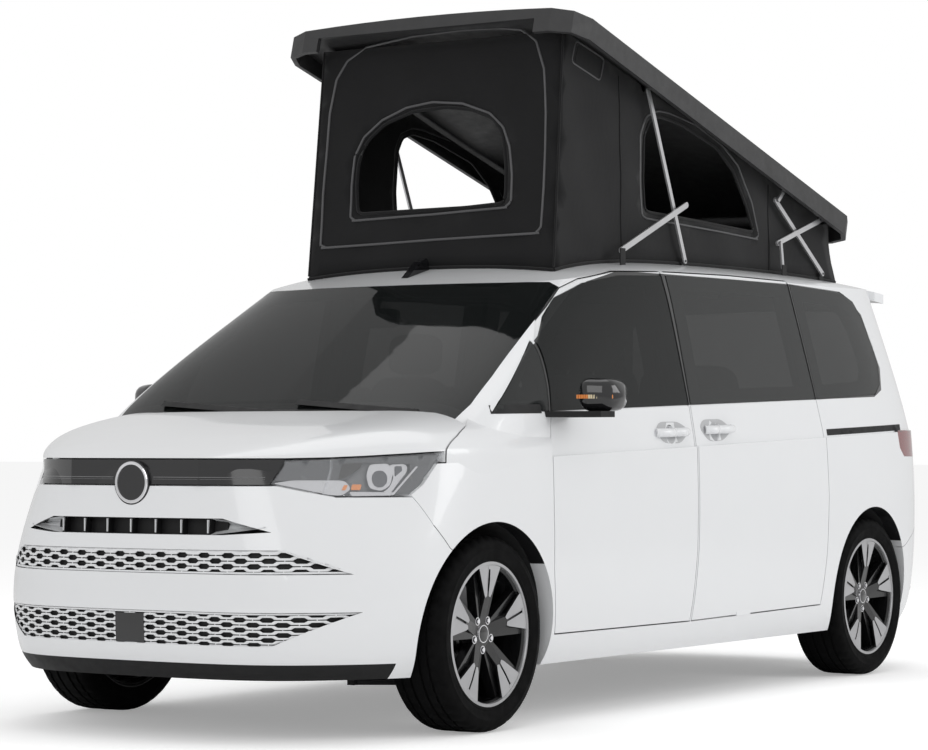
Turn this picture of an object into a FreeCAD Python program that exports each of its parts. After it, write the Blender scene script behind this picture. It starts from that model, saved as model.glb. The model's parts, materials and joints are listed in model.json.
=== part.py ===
import FreeCAD, Part
import math
import os

V = FreeCAD.Vector

# Camper van with a lifting roof, in millimetres.
# Forward is -Y, the vehicle's left is +X, up is +Z.
# The origin is on the ground, midway along the length and on the centre plane.

# Overall sizes
LENGTH = 4830.0
HALF_WIDTH = 946.0
WHEELBASE = 3124.0
FRONT_OVERHANG = 880.0
ROOF_TOP = 1803.0
GROUND_CLEARANCE = 215.0

# Wheels and tyres
TYRE_RADIUS = 346.0
TYRE_WIDTH = 232.0
RIM_RADIUS = 259.0
WHEEL_OUTER_X = 922.0
ARCH_RADIUS = 395.0
LINER_CLEARANCE = 22.0

# Walls, gaps and glass
WALL = 62.0
ROOF_WALL = 44.0
DOOR_GAP = 5.0
GLASS = 5.0
GLASS_BED = 1.0
FRAME_DEPTH = 34.0
PANEL_X = 640.0
FLOOR_TOP = 420.0
FLOOR_DEPTH = 60.0
RAIL_X = 400.0
RAIL_WIDTH = 40.0
RAIL_DEPTH = 70.0
FRONT_HOUSING_X = 486.0
REAR_HOUSING_X = 540.0
REAR_WHEEL_BOX_X = 900.0
SEAT_GAP = 0.3

# Body levels: the bottom edge, the shoulder crease and the belt under the windows
CREASE_Z = 1008.0
BELT_Z = 1169.0
BODY_RISE = 0.034

# Steering, doors and covers
STEER_AXIS_X = 745.0

# Lifting roof
LID_TILT = 15.04
LID_HINGE_Y = 2463.0
LID_HINGE_Z = 1790.0
LID_HALF_WIDTH = 706.0
LID_FRONT_Y = -587.0
LID_FRONT_Z = 2692.0
LID_LENGTH = 2600.0
LID_SHEET = 24.0
LID_CROWN = 30.0
LID_RIM = 20.0
LID_DEPTH = 84.0
LID_NOTCH = 515.0
LID_LIP = 26.0
LID_TAIL_LIFT = 6.0
TENT_HALF_WIDTH = 620.0
TENT_FRONT_HALF = 583.0
TENT_WIDE_Y = 400.0
TENT_CLOTH = 14.0
TENT_FRONT_Y = -560.0
TENT_REAR_Y = 1830.0

FRONT_Y = -LENGTH / 2
REAR_Y = LENGTH / 2
FRONT_AXLE_Y = FRONT_Y + FRONT_OVERHANG
REAR_AXLE_Y = FRONT_AXLE_Y + WHEELBASE
RUN_OUT = 3000.0


def uniform_knots(count, degree):
    """Clamped knots for a B-spline with this many poles."""
    inner = count - degree - 1
    mults = [degree + 1] + [1] * inner + [degree + 1]
    return mults, [float(i) for i in range(len(mults))]


def net_face(rows):
    """A smooth face drawn by a net of control points."""
    du = min(3, len(rows) - 1)
    dv = min(3, len(rows[0]) - 1)
    um, uk = uniform_knots(len(rows), du)
    vm, vk = uniform_knots(len(rows[0]), dv)
    surface = Part.BSplineSurface()
    surface.buildFromPolesMultsKnots(rows, um, vm, uk, vk, False, False, du, dv)
    return surface.toShape()


def net_curve(points):
    degree = min(3, len(points) - 1)
    mults, knots = uniform_knots(len(points), degree)
    curve = Part.BSplineCurve()
    curve.buildFromPolesMultsKnots(points, mults, knots, False, degree)
    return curve.toShape()


def mirror(shape):
    return shape.mirror(V(0, 0, 0), V(1, 0, 0))


def sewn_solid(faces):
    shell = Part.Shell(Part.makeCompound(faces).Faces)
    shell.sewShape()
    solid = Part.Solid(shell)
    if solid.Volume < 0:
        solid.reverse()
    return solid


def fuse(shapes):
    result = shapes[0]
    if len(shapes) > 1:
        result = result.fuse(shapes[1:])
    return result


def box(x0, x1, y0, y1, z0, z1):
    return Part.makeBox(x1 - x0, y1 - y0, z1 - z0, V(x0, y0, z0))


def both_sides(shape):
    return Part.makeCompound([shape, mirror(shape)])


def side_prism(points, x0, x1):
    """An outline in the side view, given as (y, z), run across from x0 to x1."""
    wire = Part.makePolygon([V(x0, y, z) for y, z in points + points[:1]])
    return Part.Face(wire).extrude(V(x1 - x0, 0, 0))


def plan_prism(points, z0, z1):
    wire = Part.makePolygon([V(x, y, z0) for x, y in points + points[:1]])
    return Part.Face(wire).extrude(V(0, 0, z1 - z0))


def front_prism(points, y0, y1):
    """An outline in the front view, given as (x, z), run from y0 to y1."""
    wire = Part.makePolygon([V(x, y0, z) for x, z in points + points[:1]])
    return Part.Face(wire).extrude(V(0, y1 - y0, 0))


def rod(a, b, radius):
    a, b = V(*a), V(*b)
    return Part.makeCylinder(radius, (b - a).Length, a, b - a)


def solids_of(shape, least=200.0):
    """The shape's solids, without slivers."""
    kept = [s for s in shape.Solids if s.Volume > least]
    return kept[0] if len(kept) == 1 else Part.makeCompound(kept)


# Lower body: plan outlines stacked from the sill to the crease
# Each level: height at the middle, rise along the length, half width, front, rear, and how far
# the front corners are tucked in
LOWER_LEVELS = [
    (GROUND_CLEARANCE, 0.0, -58.0, 60.0, -70.0, 0.0),
    (262.0, 0.0, -36.0, 22.0, -40.0, 0.0),
    (330.0, 0.004, -20.0, 4.0, -18.0, 8.0),
    (470.0, 0.010, -6.0, 0.0, -6.0, 0.0),
    (650.0, 0.018, 0.0, 0.0, 0.0, 14.0),
    (830.0, 0.026, 0.0, 6.0, -6.0, 56.0),
    (CREASE_Z, BODY_RISE, -8.0, 18.0, -26.0, 100.0),
]

# Plan outline: share of the half width, and distance back from the front or rear
FRONT_PLAN = [(0.0, 0.0), (0.34, 2.0), (0.55, 40.0), (0.70, 140.0), (0.82, 270.0),
              (0.905, 395.0), (0.960, 530.0), (0.990, 700.0), (1.0, 1200.0)]
# How much of the tuck each of those points takes, and its direction
TUCK_SHARE = [0.0, 0.1, 0.6, 1.0, 1.0, 0.8, 0.35, 0.1, 0.0]
TUCK_IN = 0.743
TUCK_BACK = 0.669
REAR_PLAN = [(1.0, 1300.0), (0.998, 850.0), (0.987, 560.0), (0.958, 330.0), (0.895, 165.0),
             (0.76, 62.0), (0.50, 14.0), (0.28, 2.0), (0.0, 0.0)]


def plan_points(z0, rise, half, front, rear, front_plan, rear_plan):
    points = []
    for share, back in front_plan:
        y = front + back
        points.append(V(half * share, y, z0 + rise * y))
    for share, back in rear_plan:
        y = rear - back
        points.append(V(half * share, y, z0 + rise * y))
    return points


def barrel(levels, front_plans, rear_plan, inset=0.0):
    """A closed solid drawn through plan outlines, each on its own tilted plane."""
    nets = []
    for (z0, rise, half, front, rear), front_plan in zip(levels, front_plans):
        nets.append(plan_points(z0, rise, half - inset, front + inset, rear - inset, front_plan, rear_plan))
    left = net_face(nets)
    caps = []
    for net in (nets[0], nets[-1]):
        curve = net_curve(net)
        wire = Part.Wire([curve, mirror(curve)])
        caps.append(Part.Face(wire))
    return sewn_solid([left, mirror(left)] + caps)


def lower_solid(inset=0.0):
    levels = [(z, rise, HALF_WIDTH + dx, FRONT_Y + df, REAR_Y + dr)
              for z, rise, dx, df, dr, tuck in LOWER_LEVELS]
    plans = []
    for tuck in [level[-1] for level in LOWER_LEVELS]:
        plans.append([(share - TUCK_IN * tuck * part / HALF_WIDTH, back + TUCK_BACK * tuck * part)
                      for (share, back), part in zip(FRONT_PLAN, TUCK_SHARE)])
    return barrel(levels, plans, REAR_PLAN, inset)


# Upper body: from the crease to above the roof
UPPER_FRONT_PLAN = [(0.0, 0.0), (0.50, 22.0), (0.78, 92.0), (0.905, 190.0), (0.962, 330.0),
                    (0.990, 620.0), (1.0, 900.0)]
CREASE_STEP = 5.0
COWL_GAP = 34.0
COWL_DROP = 12.0
# Each level: height, rise, half width, front, rear, and how far the front corners sweep back
UPPER_LEVELS = [
    (CREASE_Z - 30.0, BODY_RISE, -9.0, -1955.0, -22.0, 0.80),
    (CREASE_Z + 55.0, BODY_RISE, -22.0, -1770.0, -40.0, 0.72),
    (BELT_Z, BODY_RISE, -42.0, -1625.0, -66.0, 0.46),
    (1430.0, 0.017, -93.0, -1222.0, -126.0, 0.78),
    (1690.0, 0.0, -148.0, -790.0, -196.0, 1.3),
    (1860.0, 0.0, -186.0, -500.0, -246.0, 1.3),
]


def upper_solid(inset=0.0):
    levels = [(z, rise, HALF_WIDTH + dx - CREASE_STEP, front, REAR_Y + dr)
              for z, rise, dx, front, dr, sweep in UPPER_LEVELS]
    plans = [[(share, back * level[-1]) for share, back in UPPER_FRONT_PLAN] for level in UPPER_LEVELS]
    return barrel(levels, plans, REAR_PLAN, inset)


# Roof: height along the centre line, and the fall towards the sides
ROOF_LINE = [(-2100.0, 1170.0), (-1500.0, 1400.0), (-1150.0, 1560.0), (-900.0, 1622.0),
             (-700.0, 1676.0), (-480.0, 1735.0), (-150.0, 1778.0), (400.0, 1798.0),
             (1000.0, ROOF_TOP), (1500.0, 1802.0), (2000.0, 1786.0), (2300.0, 1755.0),
             (2600.0, 1700.0)]
ROOF_FALL = [(0.0, 0.0), (300.0, 6.0), (520.0, 26.0), (660.0, 44.0), (735.0, 62.0),
             (785.0, 84.0), (815.0, 130.0), (850.0, 175.0), (900.0, 200.0), (1000.0, 230.0)]
FALL_BASE = 1250.0
LEAST_FALL = 0.1


def roof_solid(inset=0.0):
    rows = []
    for y, z in ROOF_LINE:
        share = max(LEAST_FALL, (z - FALL_BASE) / (ROOF_TOP - FALL_BASE))
        right = [V(-x, y, z - fall * share - inset) for x, fall in reversed(ROOF_FALL)]
        left = [V(x, y, z - fall * share - inset) for x, fall in ROOF_FALL[1:]]
        rows.append(right + left)
    top = net_face(rows)
    return top.extrude(V(0, 0, -1400.0))


# Bonnet and wing tops. Each row: place along the length, height above the crease on the centre
# line, height of the outer edge above the crease, and share of the half width
HOOD_ROWS = [(-2392.0, 37.0, 36.0, 0.30), (-2320.0, 66.0, 37.0, 0.50), (-2195.0, 98.0, 38.0, 0.62),
             (-2062.0, 124.0, 39.0, 0.74), (-1950.0, 144.0, 40.0, 0.84), (-1846.0, 160.0, 38.0, 0.925),
             (-1692.0, 188.0, 34.0, 0.978), (-1500.0, 212.0, 26.0, 0.990), (-1000.0, 250.0, 8.0, 0.992)]
HOOD_SECTION = [(0.0, 1.0), (0.30, 0.985), (0.58, 0.94), (0.77, 0.85), (0.89, 0.66),
                (0.965, 0.36), (1.0, 0.08), (1.0, 0.0)]
HOOD_SKIRT = 120.0


def hood_solid(inset=0.0):
    half = HALF_WIDTH - CREASE_STEP
    rows = []
    for y, rise, edge, share in HOOD_ROWS:
        y += inset if y == HOOD_ROWS[0][0] else 0.0
        base = CREASE_Z + BODY_RISE * y - inset
        wide = half * share - inset
        row = [V(wide * s, y, base + edge + (rise - edge) * g) for s, g in HOOD_SECTION]
        row.append(V(wide, y, base - HOOD_SKIRT))
        rows.append([V(-p.x, p.y, p.z) for p in reversed(row)] + row[1:])
    top = net_face(rows)
    caps = []
    for row in (rows[0], rows[-1]):
        curve = net_curve(row)
        caps.append(Part.Face(Part.Wire([curve, Part.makeLine(row[-1], row[0])])))
    left_edge = net_curve([row[-1] for row in rows])
    right_edge = net_curve([row[0] for row in rows])
    base_wire = Part.Wire([left_edge, Part.makeLine(rows[-1][-1], rows[-1][0]), right_edge,
                           Part.makeLine(rows[0][0], rows[0][-1])])
    bottom = Part.Face(base_wire)
    return sewn_solid([top, bottom] + caps)


# Openings and joints between panels, as (y, z) outlines in the side view
def on_belt(y, up=0.0):
    return (y, BELT_Z + BODY_RISE * y + up)


FRONT_DOOR = [(-1119.0, 322.0), (-1152.0, 560.0), (-1155.0, 760.0), (-1150.0, 979.0),
              on_belt(-1103.0, -4.0), (-1040.0, 1395.0), (-915.0, 1506.0), (-795.0, 1584.0),
              (-610.0, 1650.0), (-380.0, 1690.0), (-64.0, 1703.0), (-50.0, 1169.0),
              (-53.0, 1001.0), (-62.0, 600.0), (-90.0, 318.0)]
SLIDING_DOOR = [(-82.0, 318.0), (-55.0, 600.0), (-46.0, 1001.0), (-42.0, 1169.0),
                (-40.0, 1704.0), (500.0, 1716.0), (1040.0, 1718.0), (1092.0, 1206.0),
                (1112.0, 1014.0), (1122.0, 800.0), (1110.0, 560.0), (1076.0, 330.0)]
QUARTER_PANE = [on_belt(1098.0), (1050.0, 1704.0), (1560.0, 1694.0), (1690.0, 1655.0),
                (1762.0, 1580.0), (1815.0, 1455.0), (1826.0, 1370.0), (1795.0, 1285.0),
                (1715.0, 1237.0)]
CORNER_PANE = [(-1438.0, 1123.0), on_belt(-1110.0, 2.0), (-1050.0, 1390.0), (-1052.0, 1398.0)]
FRONT_PANE = [on_belt(-1096.0, 2.0), (-1034.0, 1391.0), (-905.0, 1494.0), (-785.0, 1570.0),
              (-604.0, 1635.0), (-380.0, 1674.0), (-70.0, 1688.0), on_belt(-55.0, 2.0)]
SLIDING_PANE = [on_belt(-36.0, 2.0), (-34.0, 1690.0), (500.0, 1701.0), (1034.0, 1702.0),
                on_belt(1086.0, 2.0)]
FRONT_SIGHT = [on_belt(-1040.0, 45.0), (-985.0, 1365.0), (-870.0, 1452.0), (-755.0, 1526.0),
               (-590.0, 1590.0), (-380.0, 1630.0), (-150.0, 1642.0), on_belt(-140.0, 45.0)]
SLIDING_SIGHT = [on_belt(70.0, 60.0), (70.0, 1632.0), (500.0, 1644.0), (940.0, 1645.0),
                 on_belt(975.0, 60.0)]
QUARTER_SIGHT = [on_belt(1190.0, 60.0), (1160.0, 1634.0), (1530.0, 1626.0), (1640.0, 1590.0),
                 (1700.0, 1520.0), (1742.0, 1400.0), (1735.0, 1340.0), (1690.0, 1300.0)]
CORNER_SIGHT = [(-1312.0, 1168.0), (-1150.0, 1174.0), (-1118.0, 1322.0)]
FRONT_BUMPER = [(-2500.0, 190.0), (-1700.0, 190.0), (-1700.0, 600.0), (-1798.0, 656.0),
                (-1865.0, 736.0), (-1924.0, 834.0), (-2140.0, 834.0), (-2165.0, 873.0), (-2500.0, 873.0)]
REAR_BUMPER = [(2600.0, 190.0), (1700.0, 190.0), (1700.0, 520.0), (1960.0, 560.0),
               (2190.0, 648.0), (2600.0, 648.0)]
TAILGATE = [(0.0, 648.0), (700.0, 648.0), (768.0, 700.0), (776.0, 1050.0), (748.0, 1300.0),
            (690.0, 1650.0), (668.0, 1900.0), (0.0, 1900.0)]
REAR_SIGHT = [(0.0, 1235.0), (640.0, 1235.0), (668.0, 1280.0), (610.0, 1600.0),
              (570.0, 1635.0), (0.0, 1650.0)]
TAILGATE_FRONT = 2112.0
TAIL_LAMP = [(1878.0, 1080.0), (1905.0, 1000.0), (1960.0, 962.0), (2600.0, 958.0),
             (2600.0, 1084.0)]
HEADLAMP_FACE = [(506.0, 877.0), (537.0, 959.0), (640.0, 963.0), (717.0, 968.0), (820.0, 977.0),
                 (884.0, 984.0), (960.0, 988.0), (960.0, 838.0), (663.0, 836.0), (585.0, 855.0)]
HEADLAMP_SIDE = [(-2600.0, 800.0), (-1932.0, 836.0), (-1885.0, 872.0), (-1790.0, 984.0),
                 (-1800.0, 998.0), (-2600.0, 998.0)]
BONNET_EDGE = [(0.0, 963.0), (537.0, 963.0), (640.0, 966.0), (717.0, 971.0), (820.0, 980.0),
               (884.0, 987.0), (960.0, 991.0)]
BONNET_PLAN = [(0.0, -2500.0), (600.0, -2500.0), (900.0, -2100.0), (900.0, -1900.0), (889.0, -1791.0),
               (872.0, -1690.0), (845.0, -1590.0), (800.0, -1512.0), (690.0, -1590.0),
               (480.0, -1664.0), (240.0, -1694.0), (0.0, -1702.0)]
WINDSCREEN = [(0.0, 1100.0), (770.0, 1100.0), (784.0, 1155.0), (775.0, 1255.0), (749.0, 1396.0),
              (722.0, 1530.0), (700.0, 1612.0), (660.0, 1632.0), (500.0, 1630.0), (0.0, 1630.0)]
SCREEN_SIGHT = [(0.0, 1165.0), (700.0, 1165.0), (706.0, 1200.0), (668.0, 1400.0),
                (622.0, 1530.0), (570.0, 1572.0), (0.0, 1582.0)]
ROOF_HATCH = (-520.0, 1560.0)
HATCH_HALF = 520.0


def shrink(points, gap):
    """The outline moved inwards by a gap."""
    wire = Part.makePolygon([V(0, y, z) for y, z in points + points[:1]])
    inner = Part.Face(wire).makeOffset2D(-gap)
    return [(v.Point.y, v.Point.z) for v in inner.OuterWire.OrderedVertexes]


def symmetric(points):
    """A half outline, from the centre line out and back to it, made whole."""
    return points + [(-x, z) for x, z in reversed(points) if x > 0.0]


def arch_cuts(radius, x0=560.0, x1=1100.0):
    cuts = []
    for y in (FRONT_AXLE_Y, REAR_AXLE_Y):
        cut = Part.makeCylinder(radius, x1 - x0, V(x0, y, TYRE_RADIUS), V(1, 0, 0))
        cuts += [cut, mirror(cut)]
    return cuts


class Shells:
    """The surfaces that the panels are cut from, each made once."""
    lower = lower_solid()
    upper = upper_solid()
    roof = roof_solid()
    hood = hood_solid()
    wall_low = lower.cut(lower_solid(WALL))
    cabin = upper.common(roof)
    wall_high = cabin.cut(upper_solid(WALL).common(roof_solid(ROOF_WALL)))
    glazing = upper.cut(upper_solid(GLASS)).common(roof)
    frame_wall = upper_solid(GLASS + GLASS_BED).cut(upper_solid(GLASS + GLASS_BED + FRAME_DEPTH))
    frame_wall = frame_wall.common(roof)
    hood_wall = hood.cut(hood_solid(30.0))


def cut_all(shape, tools):
    return shape.cut(tools) if tools else shape


NOSE_Y = -1925.0
SEAM_X = 700.0
SEAM_Y = -700.0
SEAM_LOW = 1300.0
PILLAR_SEAM = 1600.0
SCUTTLE_Y = -1000.0
SCUTTLE_DROP = 50.0


def seam_zone(grown):
    """The roof between its side seams and above the front pillars, and the wall below the windscreen."""
    middle = box(-SEAM_X - grown, SEAM_X + grown, SEAM_Y - 10.0, RUN_OUT, SEAM_LOW - grown, RUN_OUT)
    front = box(-RUN_OUT, RUN_OUT, -RUN_OUT, SEAM_Y + grown, PILLAR_SEAM - grown, RUN_OUT)
    scuttle = box(-SEAM_X - grown, SEAM_X + grown, -RUN_OUT, SCUTTLE_Y, 0.0, SEAM_LOW - SCUTTLE_DROP)
    return fuse([middle, front, scuttle])


def body_shell():
    """Sides with their wings and pillars, and the roof between them, parted along its seams."""
    doors = [side_prism(FRONT_DOOR, -RUN_OUT, RUN_OUT), side_prism(SLIDING_DOOR, -RUN_OUT, RUN_OUT)]
    tailgate = front_prism(symmetric(TAILGATE), TAILGATE_FRONT, RUN_OUT)
    lamps = [side_prism(TAIL_LAMP, 700.0, RUN_OUT), side_prism(TAIL_LAMP, -700.0, -RUN_OUT)]
    bumpers = [side_prism(FRONT_BUMPER, -RUN_OUT, RUN_OUT), side_prism(REAR_BUMPER, -RUN_OUT, RUN_OUT)]
    nose = box(-RUN_OUT, RUN_OUT, -RUN_OUT, NOSE_Y, 0.0, RUN_OUT)
    headlamps = side_prism(HEADLAMP_SIDE, -RUN_OUT, RUN_OUT)
    low = Shells.wall_low.cut(doors + lamps + bumpers + [tailgate, nose, headlamps] + arch_cuts(ARCH_RADIUS))
    panes = [side_prism(outline, -RUN_OUT, RUN_OUT) for outline in (QUARTER_SIGHT, CORNER_SIGHT)]
    screen = front_prism(symmetric(SCREEN_SIGHT), -RUN_OUT, -600.0)
    hatch = box(-HATCH_HALF, HATCH_HALF, ROOF_HATCH[0], ROOF_HATCH[1], 1500.0, RUN_OUT)
    seats = []
    for outline in (QUARTER_PANE, CORNER_PANE):
        seats.append(side_prism(outline, -RUN_OUT, RUN_OUT))
    bed = Shells.upper.cut(upper_solid(GLASS + GLASS_BED))
    pane_beds = [bed.common(seat) for seat in seats]
    pane_beds.append(bed.common(front_prism(symmetric(WINDSCREEN), -RUN_OUT, -600.0)))
    high = Shells.wall_high.cut(doors + panes + [screen, hatch, tailgate] + lamps + pane_beds)
    bonnet_hole = plan_prism(symmetric(BONNET_PLAN), 0.0, RUN_OUT)
    cowl_gap = upper_solid(-COWL_GAP).common(box(-790.0, 790.0, -RUN_OUT, 0.0, 0.0, RUN_OUT))
    middle = box(-740.0, 740.0, -RUN_OUT, 0.0, 0.0, RUN_OUT)
    cuts = [bonnet_hole, headlamps, nose, Shells.upper, cowl_gap, middle]
    wing = Shells.hood_wall.cut(cuts + bumpers + doors)
    post = upper_solid(WALL + 12.0).cut(upper_solid(WALL + 70.0)).common(roof_solid(20.0))
    post = post.common(side_prism([(-130.0, 1000.0), (-130.0, 1720.0), (40.0, 1720.0), (40.0, 1000.0)],
                                  -RUN_OUT, RUN_OUT))
    post_low = lower_solid(WALL + 12.0).cut(lower_solid(WALL + 70.0))
    post_low = post_low.common(side_prism([(-150.0, FLOOR_TOP + 4.0), (-130.0, 1030.0), (40.0, 1030.0),
                                           (20.0, FLOOR_TOP + 4.0)], -RUN_OUT, RUN_OUT))
    shell = fuse([low, high, wing, post, post_low, tailgate_ledges()])
    return solids_of(shell.cut(seam_zone(SEAT_GAP).cut(seam_zone(0.0))), 30000.0)


LEDGE_X = (100.0, 200.0)


def tailgate_ledges():
    """Two short ledges under the roof's rear edge that the shut tailgate rests on."""
    sheet = roof_solid(ROOF_WALL + SEAT_GAP).cut(roof_solid(ROOF_WALL + 14.0))
    root = roof_solid(ROOF_WALL - 10.0).cut(roof_solid(ROOF_WALL + 14.0))
    reach = sheet.common(box(*LEDGE_X, TAILGATE_FRONT - 27.0, TAILGATE_FRONT + 20.0, 0.0, RUN_OUT))
    held = root.common(box(*LEDGE_X, TAILGATE_FRONT - 27.0, TAILGATE_FRONT, 0.0, RUN_OUT))
    return both_sides(fuse([reach.common(upper_solid(WALL + SEAT_GAP)), held]))


def bonnet():
    skin = Shells.hood_wall.common(plan_prism(symmetric(shrink_plan(BONNET_PLAN, DOOR_GAP)), 0.0, RUN_OUT))
    floor_cut = box(-RUN_OUT, RUN_OUT, -RUN_OUT, 0.0, 0.0, 800.0)
    crease = side_prism([(-RUN_OUT, 0.0), (-RUN_OUT, CREASE_Z - BODY_RISE * RUN_OUT + 4.0),
                         (0.0, CREASE_Z + 4.0), (0.0, 0.0)], -RUN_OUT, RUN_OUT)
    half = [(x, z + BUMPER_GAP) for x, z in BONNET_EDGE] + [(RUN_OUT, BONNET_EDGE[-1][1]), (RUN_OUT, 0.0)]
    under = [(-x, z) for x, z in reversed(half[1:])] + half
    front = front_prism(under, -RUN_OUT, -1790.0)
    return solids_of(skin.cut([floor_cut, crease, front, upper_solid(-COWL_GAP)]), 30000.0)


def shrink_plan(points, gap):
    """A half plan outline kept a gap clear of its neighbours, on the centre line at both ends."""
    whole = symmetric(points)
    wire = Part.makePolygon([V(x, y, 0) for x, y in whole + whole[:1]])
    inner = Part.Face(wire).makeOffset2D(-gap)
    half = [(v.Point.x, v.Point.y) for v in inner.OuterWire.OrderedVertexes if v.Point.x > -0.01]
    half.sort(key=lambda p: math.atan2(p[1] + 2100.0, p[0]))
    return half


def cowl():
    """The sunk strip between the bonnet and the windscreen."""
    strip = hood_solid(COWL_DROP).cut(hood_solid(COWL_DROP + 16.0))
    zone = upper_solid(-COWL_GAP + 4.0).cut(upper_solid(-SEAT_GAP))
    return solids_of(strip.common(zone).common(box(-788.0, 788.0, -RUN_OUT, 0.0, 800.0, RUN_OUT)), 5000.0)


def panel(outline, side, low_wall, high_wall, gap=DOOR_GAP):
    """A door panel: the full wall below the belt and a window frame above it."""
    prism = side_prism(shrink(outline, gap), PANEL_X * side, RUN_OUT * side)
    belt = side_prism([(-RUN_OUT, 0.0), (-RUN_OUT, BELT_Z - BODY_RISE * RUN_OUT),
                       (RUN_OUT, BELT_Z + BODY_RISE * RUN_OUT), (RUN_OUT, 0.0)], PANEL_X * side, RUN_OUT * side)
    below = fuse([low_wall, high_wall.common(belt)]).common(prism)
    lowered = side_prism([(-RUN_OUT, 0.0), (-RUN_OUT, BELT_Z - BODY_RISE * RUN_OUT - 12.0),
                          (RUN_OUT, BELT_Z + BODY_RISE * RUN_OUT - 12.0), (RUN_OUT, 0.0)],
                         PANEL_X * side, RUN_OUT * side)
    above = Shells.frame_wall.common(prism).cut(lowered)
    return below, above


def door(outline, sight, side, handle_y):
    below, above = panel(outline, side, Shells.wall_low, Shells.wall_high)
    sight_cut = side_prism(sight, PANEL_X * side, RUN_OUT * side)
    body = fuse([below, above.cut(sight_cut)]).cut(arch_cuts(ARCH_RADIUS))
    cup_z = CREASE_Z + BODY_RISE * handle_y + 58.0
    cup = Part.makeSphere(46.0, V((HALF_WIDTH - 2.0) * side, handle_y, cup_z))
    bar = Part.makeCylinder(11.0, 150.0, V((HALF_WIDTH - 16.0) * side, handle_y - 75.0, cup_z), V(0, 1, 0))
    solids = [body.cut(cup), bar.common(upper_solid(-8.0))]
    if outline is SLIDING_DOOR:
        guide = side_prism(shrink(outline, SEAT_GAP), 880.0 * side, 925.0 * side)
        solids.append(guide.common(box(-RUN_OUT, RUN_OUT, 300.0, 420.0, 300.0, 345.0)))
    return solids_of(fuse(solids), 20000.0)


def pane(outline, side):
    prism = side_prism(shrink(outline, 3.0), PANEL_X * side, RUN_OUT * side)
    screen = front_prism(shrink(symmetric(WINDSCREEN), -3.0), -RUN_OUT, -600.0)
    return solids_of(Shells.glazing.common(prism).cut(screen), 2000.0)


def windscreen():
    prism = front_prism(symmetric(WINDSCREEN), -RUN_OUT, -600.0)
    return solids_of(Shells.glazing.common(prism), 5000.0)


def tailgate():
    prism = front_prism(symmetric(TAILGATE), TAILGATE_FRONT + DOOR_GAP, RUN_OUT)
    inner = front_prism(shrink(symmetric(TAILGATE), DOOR_GAP), TAILGATE_FRONT + DOOR_GAP, RUN_OUT)
    lamps = [side_prism([(y, z) for y, z in TAIL_LAMP], 700.0 * s, RUN_OUT * s) for s in (1, -1)]
    wall = fuse([Shells.wall_low, Shells.wall_high]).common(prism).common(inner)
    sight = front_prism(symmetric(REAR_SIGHT), 1500.0, RUN_OUT)
    bed = Shells.upper.cut(upper_solid(GLASS + GLASS_BED)).common(rear_pane_prism(0.0))
    return solids_of(wall.cut(lamps + [sight, bed]), 20000.0)


def rear_pane_prism(gap):
    outline = [(0.0, 1180.0 + gap), (715.0 - gap, 1180.0 + gap), (728.0 - gap, 1260.0),
               (672.0 - gap, 1640.0 - gap), (0.0, 1680.0 - gap)]
    return front_prism(symmetric(outline), 1900.0, RUN_OUT)


def tailgate_glass():
    behind = box(-RUN_OUT, RUN_OUT, TAILGATE_FRONT + DOOR_GAP, RUN_OUT, 0.0, RUN_OUT)
    return solids_of(Shells.glazing.common(rear_pane_prism(3.0)).common(behind), 5000.0)


def spoiler():
    """A roof spoiler over the rear window, running down beside it."""
    block = roof_solid(-2.0).cut(roof_solid(40.0))
    lip = plan_prism(symmetric([(0.0, 2150.0), (640.0, 2150.0), (675.0, 2165.0), (690.0, 2230.0),
                                (600.0, 2278.0), (300.0, 2296.0), (0.0, 2300.0)]), 1000.0, RUN_OUT)
    return solids_of(block.common(lip).cut(Shells.upper), 5000.0)


BUMPER_SKIN = 30.0
BUMPER_DEPTH = 58.0
BUMPER_GAP = 2.5


def bumper_wall(outline):
    """A bumper cover with a visible joint outside and a flange that meets the body inside."""
    skin = Shells.lower.cut(lower_solid(BUMPER_SKIN))
    skin = skin.common(side_prism(shrink(outline, BUMPER_GAP), -RUN_OUT, RUN_OUT))
    flange = lower_solid(BUMPER_SKIN - 2.0).cut(lower_solid(BUMPER_DEPTH))
    flange = flange.common(side_prism(shrink(outline, SEAT_GAP), -RUN_OUT, RUN_OUT))
    return fuse([skin, flange])


GRILLE_TOP = (574.0, 656.0, 752.0, 190.0)
GRILLE_LOW = (334.0, 447.0, 545.0, -230.0)
GRILLE_DEPTH = 14.0
GRILLE_PLATE = 12.0
SLOT = (706.0, 762.0, 372.0, 534.0)
LIP_TOP = 270.0
BADGE_RADIUS = 76.0
BADGE_Z = 882.0


def band(low, high, half, slope):
    """A grille band's outline, with ends that slope."""
    return [(-half, low), (half, low), (half - slope, high), (-half + slope, high)]


def front_bumper():
    wall = bumper_wall(FRONT_BUMPER)
    cuts = [front_prism(band(*mesh), -RUN_OUT, -1900.0) for mesh in (GRILLE_TOP, GRILLE_LOW)]
    z0, z1, x0, x1 = SLOT
    cuts.append(front_prism([(-x1, z0 + 10.0), (-x0, z0), (x0, z0), (x1, z0 + 10.0), (x0, z1), (-x0, z1)],
                            -RUN_OUT, -1900.0))
    cuts.append(side_prism([(-2500.0, 0.0), (-1990.0, 0.0), (-1990.0, LIP_TOP - 2.0), (-2500.0, LIP_TOP + 2.0)],
                           -RUN_OUT, RUN_OUT))
    for side in (1, -1):
        lamp = [(x * side, z) for x, z in HEADLAMP_FACE]
        cuts.append(front_prism(shrink(lamp, -1.0), -RUN_OUT, -1700.0))
    cuts.append(Part.makeCylinder(BADGE_RADIUS + 1.0, 400.0, V(0, -2500.0, BADGE_Z), V(0, 1, 0)))
    return solids_of(wall.cut(cuts + arch_cuts(ARCH_RADIUS)), 20000.0)


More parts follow.
